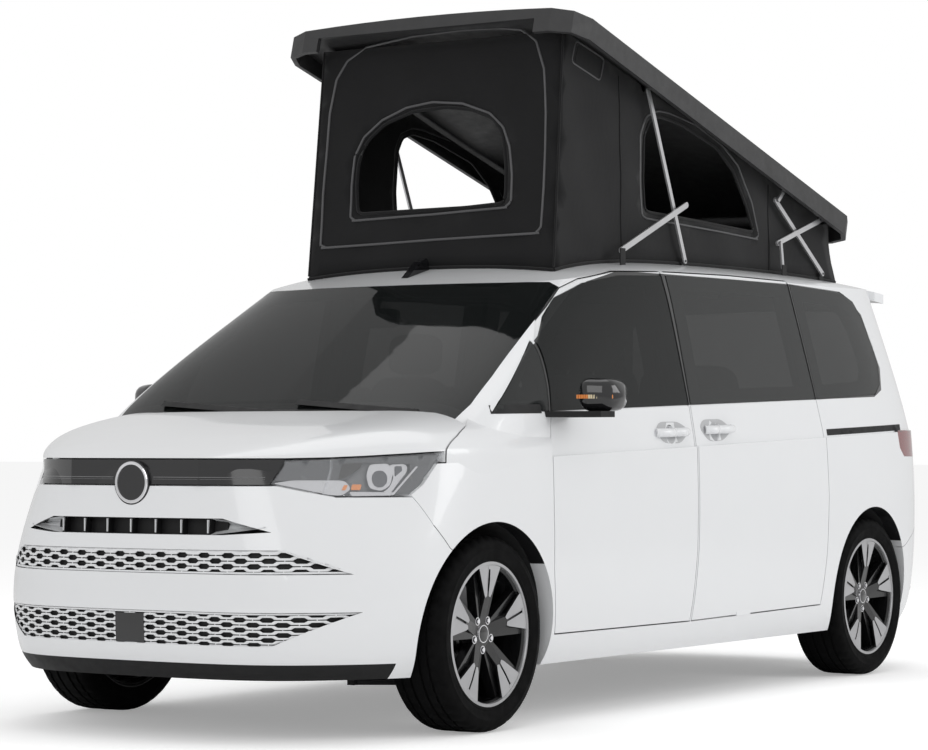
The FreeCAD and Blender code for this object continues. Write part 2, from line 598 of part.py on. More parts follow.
def front_grille():
    """Two mesh bands and the slot's vanes, each band one solid behind the bumper's openings."""
    wall = lower_solid(GRILLE_DEPTH).cut(lower_solid(GRILLE_DEPTH + GRILLE_PLATE))
    pieces = []
    for low, high, half, slope in (GRILLE_TOP, GRILLE_LOW):
        outline = shrink(band(low, high, half, slope), SEAT_GAP)
        pieces.append(wall.common(front_prism(outline, -RUN_OUT, -1900.0)))
    z0, z1, x0, x1 = SLOT
    back = lower_solid(34.0).cut(lower_solid(41.0)).common(
        front_prism(shrink([(-x0, z0), (x0, z0), (x0, z1), (-x0, z1)], SEAT_GAP), -RUN_OUT, -1900.0))
    vanes = [back]
    for i in range(7):
        x = -x0 + 2 * x0 * (i + 0.5) / 7.0
        vane = box(x - 5.0, x + 5.0, -2500.0, -2300.0, z0 + SEAT_GAP, z1 - SEAT_GAP)
        vanes.append(vane.common(lower_solid(6.0).cut(lower_solid(40.0))))
    pieces.append(fuse(vanes))
    return Part.makeCompound([s for p in pieces for s in p.Solids])


def front_lip():
    wall = Shells.lower.cut(lower_solid(60.0))
    zone = side_prism([(-2500.0, 190.0), (-1990.0 - SEAT_GAP, 190.0), (-1990.0 - SEAT_GAP, LIP_TOP - 2.0 - SEAT_GAP),
                       (-2500.0, LIP_TOP + 2.0 - SEAT_GAP)], -RUN_OUT, RUN_OUT)
    return solids_of(wall.common(zone).cut(arch_cuts(ARCH_RADIUS)), 5000.0)


def sensor_cover():
    zone = front_prism([(-62.0, 336.0), (62.0, 336.0), (62.0, 436.0), (-62.0, 436.0)], -RUN_OUT, -1900.0)
    return solids_of(Shells.lower.cut(lower_solid(GRILLE_DEPTH - SEAT_GAP)).common(zone))


def front_strip():
    """The dark strip between the headlamps, with a round disc at its middle."""
    outline = symmetric([(0.0, 875.5), (502.0, 875.5), (533.0, 960.5), (0.0, 960.5)])
    walls = fuse([lower_solid(3.0).cut(lower_solid(30.0)), hood_solid(2.0).cut(hood_solid(30.0))])
    strip = walls.common(front_prism(outline, -RUN_OUT, -1900.0))
    disc = Part.makeCylinder(BADGE_RADIUS, 40.0, V(0, FRONT_Y + 12.0, BADGE_Z), V(0, 1, 0))
    return solids_of(fuse([strip, disc]), 5000.0)


def headlamp(side):
    zone = front_prism([(x * side, z) for x, z in HEADLAMP_FACE], -RUN_OUT, -1700.0)
    shape = side_prism(HEADLAMP_SIDE, PANEL_X * side, RUN_OUT * side)
    low = Shells.lower.cut(lower_solid(95.0))
    top = Shells.hood.cut(hood_solid(70.0))
    return fuse([low, top]).common(zone).common(shape).cut(upper_solid(-SEAT_GAP))


def headlamps():
    left = solids_of(headlamp(1), 20000.0)
    return Part.makeCompound(left.Solids + mirror(left).Solids)


def rear_bumper():
    return solids_of(bumper_wall(REAR_BUMPER).cut(arch_cuts(ARCH_RADIUS)), 20000.0)


def tail_lamps():
    lamps = []
    for side in (1, -1):
        shape = side_prism(shrink(TAIL_LAMP, SEAT_GAP), 700.0 * side, RUN_OUT * side)
        x_low, x_high = sorted((300.0 * side, 783.0 * side))
        edge = box(x_low, x_high, 1500.0, RUN_OUT, 0.0, RUN_OUT)
        lamp = fuse([Shells.lower.cut(lower_solid(50.0)), Shells.upper.cut(upper_solid(45.0))])
        lamp = lamp.common(shape).cut(edge)
        lamps += [s for s in lamp.Solids if s.Volume > 5000.0]
    return Part.makeCompound(lamps)


def floor_pan():
    """The floor with its sills, bulkhead and wheel housings."""
    low = FLOOR_TOP - FLOOR_DEPTH
    inner = lower_solid(WALL + 1.0)
    slab = box(-900.0, 900.0, -1500.0, 2300.0, low, FLOOR_TOP).common(inner)
    bulkhead = box(-820.0, 820.0, -1560.0, -1500.0, low, 930.0).common(inner)
    housings = []
    holes = []
    for y, start in ((REAR_AXLE_Y, REAR_HOUSING_X), (FRONT_AXLE_Y, FRONT_HOUSING_X)):
        radius = ARCH_RADIUS + LINER_CLEARANCE
        for side in (1, -1):
            outer = Part.makeCylinder(radius, 880.0 - start, V(start * side, y, TYRE_RADIUS), V(side, 0, 0))
            inner_space = Part.makeCylinder(ARCH_RADIUS, 600.0, V((start + 12.0) * side, y, TYRE_RADIUS),
                                            V(side, 0, 0))
            housings.append(outer)
            holes.append(inner_space)
    upper_half = box(-1000.0, 1000.0, -2200.0, 2300.0, low, 1000.0)
    housing = fuse(housings).common(upper_half).common(inner)
    rails = []
    for side in (1, -1):
        x0, x1 = sorted((RAIL_X * side, (RAIL_X + RAIL_WIDTH) * side))
        rails.append(box(x0, x1, -1990.0, 1000.0, low - RAIL_DEPTH, low))
    return solids_of(fuse([slab, bulkhead, housing] + rails).cut(holes), 50000.0)


def dashboard():
    """A shaped dash from door to door, with a hood over the dials."""
    front = -1500.0 + SEAT_GAP
    outline = [(front, 760.0), (-1200.0, 700.0), (-1010.0, 760.0), (-985.0, 880.0),
               (-1010.0, 985.0), (-1080.0, 1030.0), (-1330.0, 1075.0), (-1480.0, 1085.0), (front, 960.0)]
    slab = side_prism(outline, -820.0, 820.0)
    hood = side_prism([(-1180.0, 1030.0), (-1000.0, 985.0), (-985.0, 1070.0), (-1020.0, 1100.0),
                       (-1180.0, 1085.0)], 250.0, 560.0)
    inside = fuse([lower_solid(WALL + 14.0), upper_solid(WALL + 14.0)])
    column = Part.makeCylinder(22.3, 300.0, V(0, 0, -300.0))
    column.rotate(V(0, 0, 0), V(1, 0, 0), -(90.0 - COLUMN_TILT))
    column.translate(V(*STEER_WHEEL))
    housings = both_sides(box(FRONT_HOUSING_X - SEAT_GAP, RUN_OUT, -RUN_OUT, -1390.0, 0.0, 762.0))
    return solids_of(fuse([slab, hood]).common(inside).cut([column, housings]), 50000.0)


STEER_WHEEL = (405.0, -915.0, 1010.0)
COLUMN_TILT = 28.0
STEER_RING = 178.0


def steering_wheel():
    """Rim, boss and three spokes, on the column's short shaft."""
    ring = Part.makeTorus(STEER_RING, 15.0)
    boss = Part.makeCylinder(58.0, 44.0, V(0, 0, -36.0))
    spokes = [box(-172.0, -50.0, -20.0, 20.0, -20.0, -4.0), box(50.0, 172.0, -20.0, 20.0, -20.0, -4.0),
              box(-22.0, 22.0, -172.0, -50.0, -20.0, -4.0)]
    shaft = Part.makeCylinder(22.0, 70.0, V(0, 0, -104.0))
    wheel = fuse([ring, boss, shaft] + spokes)
    wheel.rotate(V(0, 0, 0), V(1, 0, 0), -(90.0 - COLUMN_TILT))
    wheel.translate(V(*STEER_WHEEL))
    return wheel


def rounded(shape, radius):
    return shape.makeFillet(radius, shape.Edges)


def seat(x, y, width):
    """A seat on its pedestal: cushion, backrest and headrest."""
    half = width / 2.0
    pedestal = box(x - half + 50.0, x + half - 50.0, y - 230.0, y + 190.0, FLOOR_TOP + 0.3, FLOOR_TOP + 210.0)
    cushion = rounded(box(x - half, x + half, y - 290.0, y + 230.0, FLOOR_TOP + 200.0, FLOOR_TOP + 350.0), 45.0)
    back = rounded(box(x - half, x + half, y + 150.0, y + 280.0, FLOOR_TOP + 300.0, FLOOR_TOP + 890.0), 50.0)
    back.rotate(V(x, y + 200.0, FLOOR_TOP + 300.0), V(1, 0, 0), -14.0)
    rest = rounded(box(x - 130.0, x + 130.0, y + 300.0, y + 390.0, FLOOR_TOP + 880.0, FLOOR_TOP + 1060.0), 36.0)
    posts = [rod((x + dx, y + 335.0, FLOOR_TOP + 780.0), (x + dx, y + 345.0, FLOOR_TOP + 920.0), 7.0)
             for dx in (-60.0, 60.0)]
    return fuse([pedestal, cushion, back, rest] + posts)


def front_seats():
    return Part.makeCompound([s for x in (405.0, -405.0) for s in seat(x, -390.0, 520.0).Solids])


def rear_bench():
    base = box(-690.0, 330.0, 1010.0, 1480.0, FLOOR_TOP + 0.3, FLOOR_TOP + 300.0)
    cushion = rounded(box(-700.0, 340.0, 960.0, 1500.0, FLOOR_TOP + 290.0, FLOOR_TOP + 430.0), 40.0)
    back = rounded(box(-700.0, 340.0, 1400.0, 1520.0, FLOOR_TOP + 380.0, FLOOR_TOP + 960.0), 45.0)
    housing = box(-REAR_WHEEL_BOX_X, -REAR_HOUSING_X + SEAT_GAP, 1170.0, RUN_OUT, 0.0, 760.0)
    return fuse([base, cushion, back]).cut(housing)


def kitchen_unit():
    """The cabinet row along the left wall, with its worktop."""
    cabinet = box(400.0, 812.0, 60.0, 2100.0, FLOOR_TOP + 0.3, FLOOR_TOP + 700.0)
    top = box(385.0, 800.0, 40.0, 2110.0, FLOOR_TOP + 700.0, FLOOR_TOP + 735.0)
    clear = side_prism([(REAR_AXLE_Y - 440.0, 0.0), (REAR_AXLE_Y + 440.0, 0.0),
                        (REAR_AXLE_Y + 440.0, 790.0), (REAR_AXLE_Y - 440.0, 790.0)], 520.0, 900.0)
    inside = fuse([lower_solid(WALL + 10.0), upper_solid(WALL + 10.0)])
    return solids_of(fuse([cabinet, top]).cut(clear).common(inside), 50000.0)


def roof_bed():
    """The sleeping board over the roof hatch's rear."""
    board = box(-HATCH_HALF - 40.0, HATCH_HALF + 40.0, 150.0, ROOF_HATCH[1] + 30.0, 1680.0, 1760.0)
    return board.common(roof_solid(ROOF_WALL + SEAT_GAP)).cut(roof_solid(ROOF_WALL + 34.0))


def engine_block():
    bottom = TYRE_RADIUS - 60.0 + SEAT_GAP
    return box(-330.0, 330.0, FRONT_AXLE_Y - 470.0, FRONT_AXLE_Y - 60.0, bottom, bottom + 590.0)


# Wheels
def tyre_profile():
    """Half the tyre's section as (radius, offset from the middle)."""
    half = TYRE_WIDTH / 2.0
    bead = RIM_RADIUS - 14.0
    return [(bead, half - 22.0), (bead + 14.0, half - 8.0), (bead + 42.0, half), (TYRE_RADIUS - 30.0, half - 2.0),
            (TYRE_RADIUS - 10.0, half - 14.0), (TYRE_RADIUS - 1.0, half - 36.0), (TYRE_RADIUS, 0.0)]


def tyre(y, side):
    centre = (WHEEL_OUTER_X - TYRE_WIDTH / 2.0) * side
    outer = tyre_profile()
    ring = outer + [(r, -t) for r, t in reversed(outer[:-1])]
    wire = Part.makePolygon([V(centre + t, y, TYRE_RADIUS + r) for r, t in ring + ring[:1]])
    return Part.Face(wire).revolve(V(0, y, TYRE_RADIUS), V(1, 0, 0), 360.0)


SPOKES = 5


def rim(y, side):
    """Barrel, hub and five spokes, with the brake disc behind."""
    half = TYRE_WIDTH / 2.0
    centre = WHEEL_OUTER_X - half
    section = [(RIM_RADIUS - 15.0, half - 20.5), (RIM_RADIUS - 6.0, half - 12.0),
               (RIM_RADIUS - 30.0, half - 12.0), (RIM_RADIUS - 34.0, -half + 14.0),
               (RIM_RADIUS - 15.0, -half + 14.0), (RIM_RADIUS - 15.0, -half + 24.0)]
    wire = Part.makePolygon([V(centre + t, 0, r) for r, t in section + section[:1]])
    barrel_ring = Part.Face(wire).revolve(V(0, 0, 0), V(1, 0, 0), 360.0)
    face_x = centre + half - 26.0
    hub = Part.makeCylinder(72.0, 42.0, V(face_x - 50.0, 0, 0), V(1, 0, 0))
    solids = [barrel_ring, hub]
    for i in range(SPOKES):
        spoke = Part.Face(Part.makePolygon([V(face_x, -30, 55), V(face_x, 30, 55), V(face_x, 66, RIM_RADIUS - 26.0),
                                            V(face_x, -66, RIM_RADIUS - 26.0), V(face_x, -30, 55)]))
        spoke = spoke.extrude(V(-34.0, 0, 0))
        spoke.rotate(V(0, 0, 0), V(1, 0, 0), 360.0 * i / SPOKES)
        solids.append(spoke)
    disc = Part.makeCylinder(165.0, 26.0, V(centre - 40.0, 0, 0), V(1, 0, 0))
    bell = Part.makeCylinder(84.0, 90.0, V(centre - 40.0, 0, 0), V(1, 0, 0))
    whole = fuse(solids + [disc, bell])
    whole = whole.cut(Part.makeCylinder(20.0, 400.0, V(centre - 200.0, 0, 0), V(1, 0, 0)).cut(
        Part.makeCylinder(30.0, 200.0, V(centre + 30.0, 0, 0), V(1, 0, 0))))
    whole.translate(V(0, y, TYRE_RADIUS))
    return whole if side > 0 else mirror(whole)


def knuckle(side):
    """Steered upright with its stub axle, caliper and steering arm."""
    centre = WHEEL_OUTER_X - TYRE_WIDTH / 2.0
    y, z = FRONT_AXLE_Y, TYRE_RADIUS
    upright = box(centre - 115.0, centre - 75.0, y - 60.0, y + 60.0, z - 150.0, z + 110.0)
    stub = Part.makeCylinder(19.9, 125.0, V(centre - 100.0, y, z), V(1, 0, 0))
    caliper = box(centre - 75.0, centre - 44.0, y + 95.0, y + 175.0, z - 60.0, z + 60.0)
    bridge = box(centre - 115.0, centre - 46.0, y + 40.0, y + 175.0, z - 40.0, z + 40.0)
    arm = box(centre - 115.0, centre - 85.0, y + 50.0, y + 170.0, z - 120.0, z - 95.0)
    lug = box(centre - 115.0, STEER_AXIS_X + 15.0, y - 25.0, y + 25.0, z - 150.0, z - 126.0)
    block = fuse([upright, stub, caliper, bridge, arm, lug])
    return block if side > 0 else mirror(block)


# Heights of the lower arm below the wheel's centre, and of the knuckle's seat on its ball
ARM_BOTTOM = 190.0
ARM_TOP = 172.0
BALL_SEAT = 150.0
BALL_RADIUS = 12.0


def front_subframe():
    """Cross member, lower arms, struts and steering rack."""
    y, z = FRONT_AXLE_Y, TYRE_RADIUS
    centre = WHEEL_OUTER_X - TYRE_WIDTH / 2.0
    cross = box(-430.0, 430.0, y - 190.0, y + 210.0, z - 120.0, z - 60.0)
    pieces = [cross]
    for side in (1, -1):
        tip = STEER_AXIS_X + BALL_RADIUS
        arm = plan_prism([(400.0 * side, y - 150.0), (400.0 * side, y + 170.0), (560.0 * side, y + 56.0),
                          (tip * side, y + 20.0), (tip * side, y - 20.0), (560.0 * side, y - 52.0)],
                         z - ARM_BOTTOM, z - ARM_TOP)
        ball = Part.makeCylinder(BALL_RADIUS, ARM_TOP - BALL_SEAT - SEAT_GAP, V(STEER_AXIS_X * side, y, z - ARM_TOP))
        x_low, x_high = sorted((400.0 * side, 430.0 * side))
        post = box(x_low, x_high, y - 150.0, y + 170.0, z - ARM_BOTTOM, z - 60.0)
        foot = z - (ARM_BOTTOM + ARM_TOP) / 2.0
        strut = rod(((centre - 160.0) * side, y, foot), (560.0 * side, y + 20.0, 860.0), 30.0)
        arch = Part.makeCylinder(ARCH_RADIUS - SEAT_GAP, 600.0, V(400.0 * side, y, z), V(side, 0, 0))
        pieces += [arm, ball, post, strut.common(arch)]
    rack = rod((-470.0, y + 235.0, z - 85.0), (470.0, y + 235.0, z - 85.0), 24.0)
    feet = [box(x - 30.0, x + 30.0, y + 160.0, y + 250.0, z - 100.0, z - 60.0) for x in (-300.0, 300.0)]
    rail_bottom = FLOOR_TOP - FLOOR_DEPTH - RAIL_DEPTH
    middle = RAIL_X + RAIL_WIDTH / 2.0
    mounts = [box(x - 20.0, x + 20.0, y - 190.0, y + 210.0, z - 60.0, rail_bottom - SEAT_GAP)
              for x in (-middle, middle)]
    return fuse(pieces + [rack] + feet + mounts)


def rear_axle():
    """Cross beam, trailing arms, springs and hub carriers."""
    y, z = REAR_AXLE_Y, TYRE_RADIUS
    centre = WHEEL_OUTER_X - TYRE_WIDTH / 2.0
    beam = box(-560.0, 560.0, y - 60.0, y + 60.0, z - 90.0, z - 10.0)
    pieces = [beam]
    for side in (1, -1):
        def span(a, b):
            return min(a * side, b * side), max(a * side, b * side)
        x0, x1 = span(500.0, 545.0)
        pieces.append(box(x0, x1, y - 560.0, y + 60.0, z - 90.0, z - 20.0))
        x0, x1 = span(540.0, centre - 75.0)
        pieces.append(box(x0, x1, y - 50.0, y + 50.0, z - 70.0, z + 10.0))
        x0, x1 = span(500.0, 545.0)
        pieces.append(box(x0, x1, y - 560.0, y - 500.0, z - 20.0, FLOOR_TOP - FLOOR_DEPTH - SEAT_GAP))
        stub = Part.makeCylinder(19.9, 125.0, V((centre - 100.0) * side, y, z), V(side, 0, 0))
        pieces.append(stub)
        reach = FLOOR_TOP - FLOOR_DEPTH - SEAT_GAP - (z - 30.0)
        spring = Part.makeCylinder(55.0, reach, V(470.0 * side, y - 200.0, z - 30.0))
        seat_x0, seat_x1 = span(420.0, 545.0)
        pieces += [spring, box(seat_x0, seat_x1, y - 260.0, y - 140.0, z - 50.0, z - 20.0)]
    return fuse(pieces)


def exhaust():
    """Pipe and silencer under the floor, with its outlet ahead of the right rear wheel."""
    top = FLOOR_TOP - FLOOR_DEPTH - SEAT_GAP
    pipe = rod((-250.0, -1150.0, top - 60.0), (-250.0, 300.0, top - 60.0), 28.0)
    silencer = rounded(box(-350.0, -150.0, 200.0, 800.0, top - 120.0, top), 30.0)
    tail = rod((-300.0, 760.0, top - 100.0), (-832.0, 900.0, top - 102.0), 26.0)
    return fuse([pipe, silencer, tail])


def energy_tank():
    return rounded(box(-60.0, 385.0, -300.0, 900.0, 210.0, FLOOR_TOP - FLOOR_DEPTH - SEAT_GAP), 25.0)


def mirror_housing(side):
    """Door mirror on its foot."""
    head = rounded(box(985.0, 1105.0, -1080.0, -965.0, 1130.0, 1275.0), 34.0)
    foot = box(880.0, 1000.0, -1060.0, -1000.0, 1096.0, 1128.0)
    stalk = box(985.0, 1025.0, -1055.0, -1000.0, 1100.0, 1180.0)
    housing = fuse([head, foot, stalk]).cut(upper_solid(-SEAT_GAP))
    housing = solids_of(housing, 20000.0)
    return housing if side > 0 else mirror(housing)


def antenna_fin():
    outline = [(-765.0, 1640.0), (-575.0, 1695.0), (-585.0, 1745.0), (-600.0, 1752.0), (-640.0, 1735.0)]
    fin = side_prism(outline, -16.0, 16.0)
    return solids_of(fin.cut(roof_solid(-0.3)), 1000.0)


def wipers():
    """Two arms with their blades, lying at the foot of the windscreen."""
    arms = []
    for x0, x1 in ((640.0, 90.0), (60.0, -560.0)):
        zone = front_prism([(x0, 1118.0), (x0 - 20.0, 1138.0), (x1, 1178.0), (x1, 1160.0)], -RUN_OUT, -1000.0)
        skin = upper_solid(-22.0).cut([upper_solid(-4.0), hood_solid(COWL_DROP - SEAT_GAP)])
        arms += [s for s in skin.common(zone).Solids if s.Volume > 3000.0]
    return Part.makeCompound(arms)


# Lifting roof
def lid_frame(shape):
    """From the lid's own level frame to its raised place: origin at the front upper corner line."""
    shape.rotate(V(0, 0, 0), V(1, 0, 0), -LID_TILT)
    shape.translate(V(0, LID_FRONT_Y, LID_FRONT_Z))
    return shape


def lid_plan(half, front, rear, radius):
    points = [(-half, front + radius), (-half + radius * 0.3, front + radius * 0.3), (-half + radius, front),
              (half - radius, front), (half - radius * 0.3, front + radius * 0.3), (half, front + radius),
              (half, rear - radius), (half - radius * 0.3, rear - radius * 0.3), (half - radius, rear),
              (-half + radius, rear), (-half + radius * 0.3, rear - radius * 0.3), (-half, rear - radius)]
    return points


CROWN_REACH = 760.0


def crown_height(x):
    """Height of the lid's top above its edge plane, at a place across it."""
    return LID_CROWN * (1.0 - (x / CROWN_REACH) ** 2)


def roof_lid():
    """A shallow cap with a rim all round."""
    outer = plan_prism(lid_plan(LID_HALF_WIDTH, 0.0, LID_LENGTH, 120.0), -LID_DEPTH, LID_CROWN)
    rows = []
    for y in (-100.0, 600.0, 1300.0, 2000.0, 2700.0):
        rows.append([V(x, y, crown_height(x)) for x in (-CROWN_REACH, -500.0, -200.0, 200.0, 500.0, CROWN_REACH)])
    crown = net_face(rows).extrude(V(0, 0, -300.0))
    inner = plan_prism(lid_plan(LID_HALF_WIDTH - LID_RIM, LID_RIM, LID_LENGTH - LID_RIM, 105.0), -200.0, LID_CROWN)
    hollow = net_face(rows).extrude(V(0, 0, -300.0))
    hollow.translate(V(0, 0, -LID_SHEET))
    notch = box(-LID_NOTCH, LID_NOTCH, -10.0, LID_RIM + 1.0, -LID_DEPTH - 10.0, -LID_LIP)
    tail = box(-LID_NOTCH, LID_NOTCH, LID_LENGTH - LID_RIM - 2.0, LID_LENGTH + 10.0, -LID_DEPTH - 10.0,
               -LID_DEPTH + LID_TAIL_LIFT)
    lid = lid_frame(outer.common(crown).cut([inner.common(hollow), notch, tail]))
    pins = []
    for y, z in (REAR_A_TOP, REAR_B_TOP):
        for side in (1, -1):
            reach = MIDDLE_PLANE - BAR_THICKNESS / 2.0 - PLATE_GAP
            pins.append(Part.makeCylinder(PIN_RADIUS, LID_HALF_WIDTH - LID_RIM + 2.0 - reach,
                                          V(reach * side, y, z), V(side, 0, 0)))
    tilt = math.radians(LID_TILT)
    dy, dz = STRUT_TOP[0] - LID_FRONT_Y, STRUT_TOP[1] - LID_FRONT_Z
    y, z = dy * math.cos(tilt) - dz * math.sin(tilt), dy * math.sin(tilt) + dz * math.cos(tilt)
    x1 = INNER_PLANE - BAR_THICKNESS / 2.0 - SEAT_GAP
    lugs = []
    for side in (1, -1):
        x_low, x_high = sorted((x1 * side, (x1 - PLATE_THICKNESS) * side))
        lug_top = crown_height(x1) - LID_SHEET / 2.0
        lugs.append(lid_frame(box(x_low, x_high, y - 12.0, y + 12.0, z - 11.0, lug_top)))
    return fuse([lid] + pins + lugs)


def tent():
    """Cloth walls between the roof and the lid, with window openings."""
    half = TENT_HALF_WIDTH
    base = roof_solid(-0.4)
    def lid_under(y):
        return LID_FRONT_Z - math.tan(math.radians(LID_TILT)) * (y - LID_FRONT_Y) - 34.0
    outline = [(TENT_FRONT_Y, 1500.0), (TENT_REAR_Y, 1500.0), (TENT_REAR_Y - 30.0, lid_under(TENT_REAR_Y)),
               (TENT_FRONT_Y + 60.0, lid_under(TENT_FRONT_Y + 60.0))]
    def plan(wall):
        return plan_prism(symmetric([(0.0, TENT_FRONT_Y), (TENT_FRONT_HALF - wall, TENT_FRONT_Y),
                                     (half - wall, TENT_WIDE_Y), (half - wall, TENT_REAR_Y), (0.0, TENT_REAR_Y)]),
                          0.0, RUN_OUT)
    whole = side_prism(outline, -half, half).common(plan(0.0))
    inner = side_prism([(TENT_FRONT_Y + TENT_CLOTH, 1400.0), (TENT_REAR_Y - TENT_CLOTH, 1400.0),
                        (TENT_REAR_Y - 30.0 - TENT_CLOTH, lid_under(TENT_REAR_Y) + 100.0),
                        (TENT_FRONT_Y + 60.0 + TENT_CLOTH, lid_under(TENT_FRONT_Y) + 100.0)],
                       -half + TENT_CLOTH, half - TENT_CLOTH).common(plan(TENT_CLOTH))
    side_window = side_prism([(130.0, 1960.0), (150.0, 2270.0), (230.0, 2290.0), (480.0, 2180.0),
                              (700.0, 2060.0), (760.0, 1930.0)], -1000.0, 1000.0)
    front_window = front_prism([(-300.0, 1960.0), (300.0, 1960.0), (290.0, 2200.0), (200.0, 2320.0),
                                (0.0, 2370.0), (-200.0, 2320.0), (-290.0, 2200.0)], -900.0, -300.0)
    return solids_of(whole.cut([inner, base, side_window, front_window]), 10000.0)


STRUT_FOOT = (389.0, 1772.0)
STRUT_TOP = (81.0, 2448.0)
BRACE_FOOT = (-168.0, 1784.0)
BRACE_TOP = (372.0, 2002.0)
REAR_A_FOOT = (1683.0, 1785.0)
REAR_A_BEND = (1216.0, 2084.0)
REAR_A_TOP = (1285.0, 2141.0)
REAR_B_TOP = (1624.0, 2020.0)
REAR_B_BEND = (1205.0, 1894.0)
REAR_B_FOOT = (1223.0, 1790.0)
INNER_PLANE = 642.0
MIDDLE_PLANE = 658.0
OUTER_PLANE = 674.0
BAR_THICKNESS = 8.0
PIN_RADIUS = 5.0
PIN_CLEARANCE = 0.08
BOSS_RADIUS = 7.0
BRACE_CROSS_Z = 1974.0


def bar(a, b, plane, half_height):
    """A flat bar with round ends in the side view, bored for a pin at its first end."""
    dy, dz = b[0] - a[0], b[1] - a[1]
    length = math.hypot(dy, dz)
    body = box(0.0, BAR_THICKNESS, 0.0, length, -half_height, half_height)
    ends = [Part.makeCylinder(half_height, BAR_THICKNESS, V(0, y, 0), V(1, 0, 0)) for y in (0.0, length)]
    bore = Part.makeCylinder(PIN_RADIUS + PIN_CLEARANCE, BAR_THICKNESS, V(0, 0, 0), V(1, 0, 0))
    shape = fuse([body] + ends).cut(bore)
    shape.rotate(V(0, 0, 0), V(1, 0, 0), math.degrees(math.atan2(dz, dy)))
    shape.translate(V(plane - BAR_THICKNESS / 2.0, a[0], a[1]))
    return shape


def boss(at, plane, towards):
    """A round spacer on a bar's inner or outer face, reaching the next bar."""
    step = 1.0 if towards > plane else -1.0
    start = plane + step * BAR_THICKNESS / 2.0
    end = towards - step * (BAR_THICKNESS / 2.0 + SEAT_GAP)
    x0, x1 = sorted((start, end))
    return Part.makeCylinder(BOSS_RADIUS, x1 - x0, V(x0, at[0], at[1]), V(1, 0, 0))


def front_struts():
    """Long struts with the spacer that the brace bears on."""
    share = (BRACE_CROSS_Z - STRUT_FOOT[1]) / (STRUT_TOP[1] - STRUT_FOOT[1])
    cross = (STRUT_FOOT[0] + share * (STRUT_TOP[0] - STRUT_FOOT[0]), BRACE_CROSS_Z)
    strut = fuse([bar(STRUT_FOOT, STRUT_TOP, INNER_PLANE, 11.0), boss(cross, INNER_PLANE, MIDDLE_PLANE)])
    return both_sides(strut)


def front_braces():
    return both_sides(bar(BRACE_FOOT, BRACE_TOP, MIDDLE_PLANE, 12.0))


def rear_arms_a():
    return both_sides(bar(REAR_A_FOOT, REAR_A_BEND, INNER_PLANE, 11.0))


def rear_arms_b():
    return both_sides(bar(REAR_B_TOP, REAR_B_BEND, MIDDLE_PLANE, 11.0))


def rear_links_a():
    link = fuse([bar(REAR_A_TOP, REAR_A_BEND, MIDDLE_PLANE, 9.0), boss(REAR_A_BEND, MIDDLE_PLANE, INNER_PLANE)])
    return both_sides(link)


def rear_links_b():
    link = fuse([bar(REAR_B_FOOT, REAR_B_BEND, OUTER_PLANE, 9.0), boss(REAR_B_BEND, OUTER_PLANE, MIDDLE_PLANE)])
    return both_sides(link)


PLATE_THICKNESS = 4.0
PLATE_GAP = 0.5


def bracket(pin, plane, outwards):
    """A plate standing on the roof beside a bar, with the pin that the bar turns on."""
    y, z = pin
    face = plane + outwards * (BAR_THICKNESS / 2.0 + PLATE_GAP)
    x0, x1 = sorted((face, face + outwards * PLATE_THICKNESS))
    plate = box(x0, x1, y - 20.0, y + 20.0, z - 90.0, z + 9.0).cut(roof_solid(0.0).common(Shells.upper))
    plate = max(plate.Solids, key=lambda s: s.BoundBox.ZMax)
    reach = plane - outwards * (BAR_THICKNESS / 2.0 + PLATE_GAP)
    x0, x1 = sorted((face, reach))
    pin_rod = Part.makeCylinder(PIN_RADIUS, x1 - x0 + 1.0, V(x0, y, z), V(1, 0, 0))
    return fuse([plate, pin_rod])


def link_brackets():
    """Plates and pins on the roof that carry the links' lower ends."""
    plates = []
    for pin, plane, outwards in ((STRUT_FOOT, INNER_PLANE, -1), (BRACE_FOOT, MIDDLE_PLANE, 1),
                                 (REAR_A_FOOT, INNER_PLANE, -1), (REAR_B_FOOT, OUTER_PLANE, 1)):
        plates.append(bracket(pin, plane, outwards))
    return Part.makeCompound(plates + [mirror(p) for p in plates])


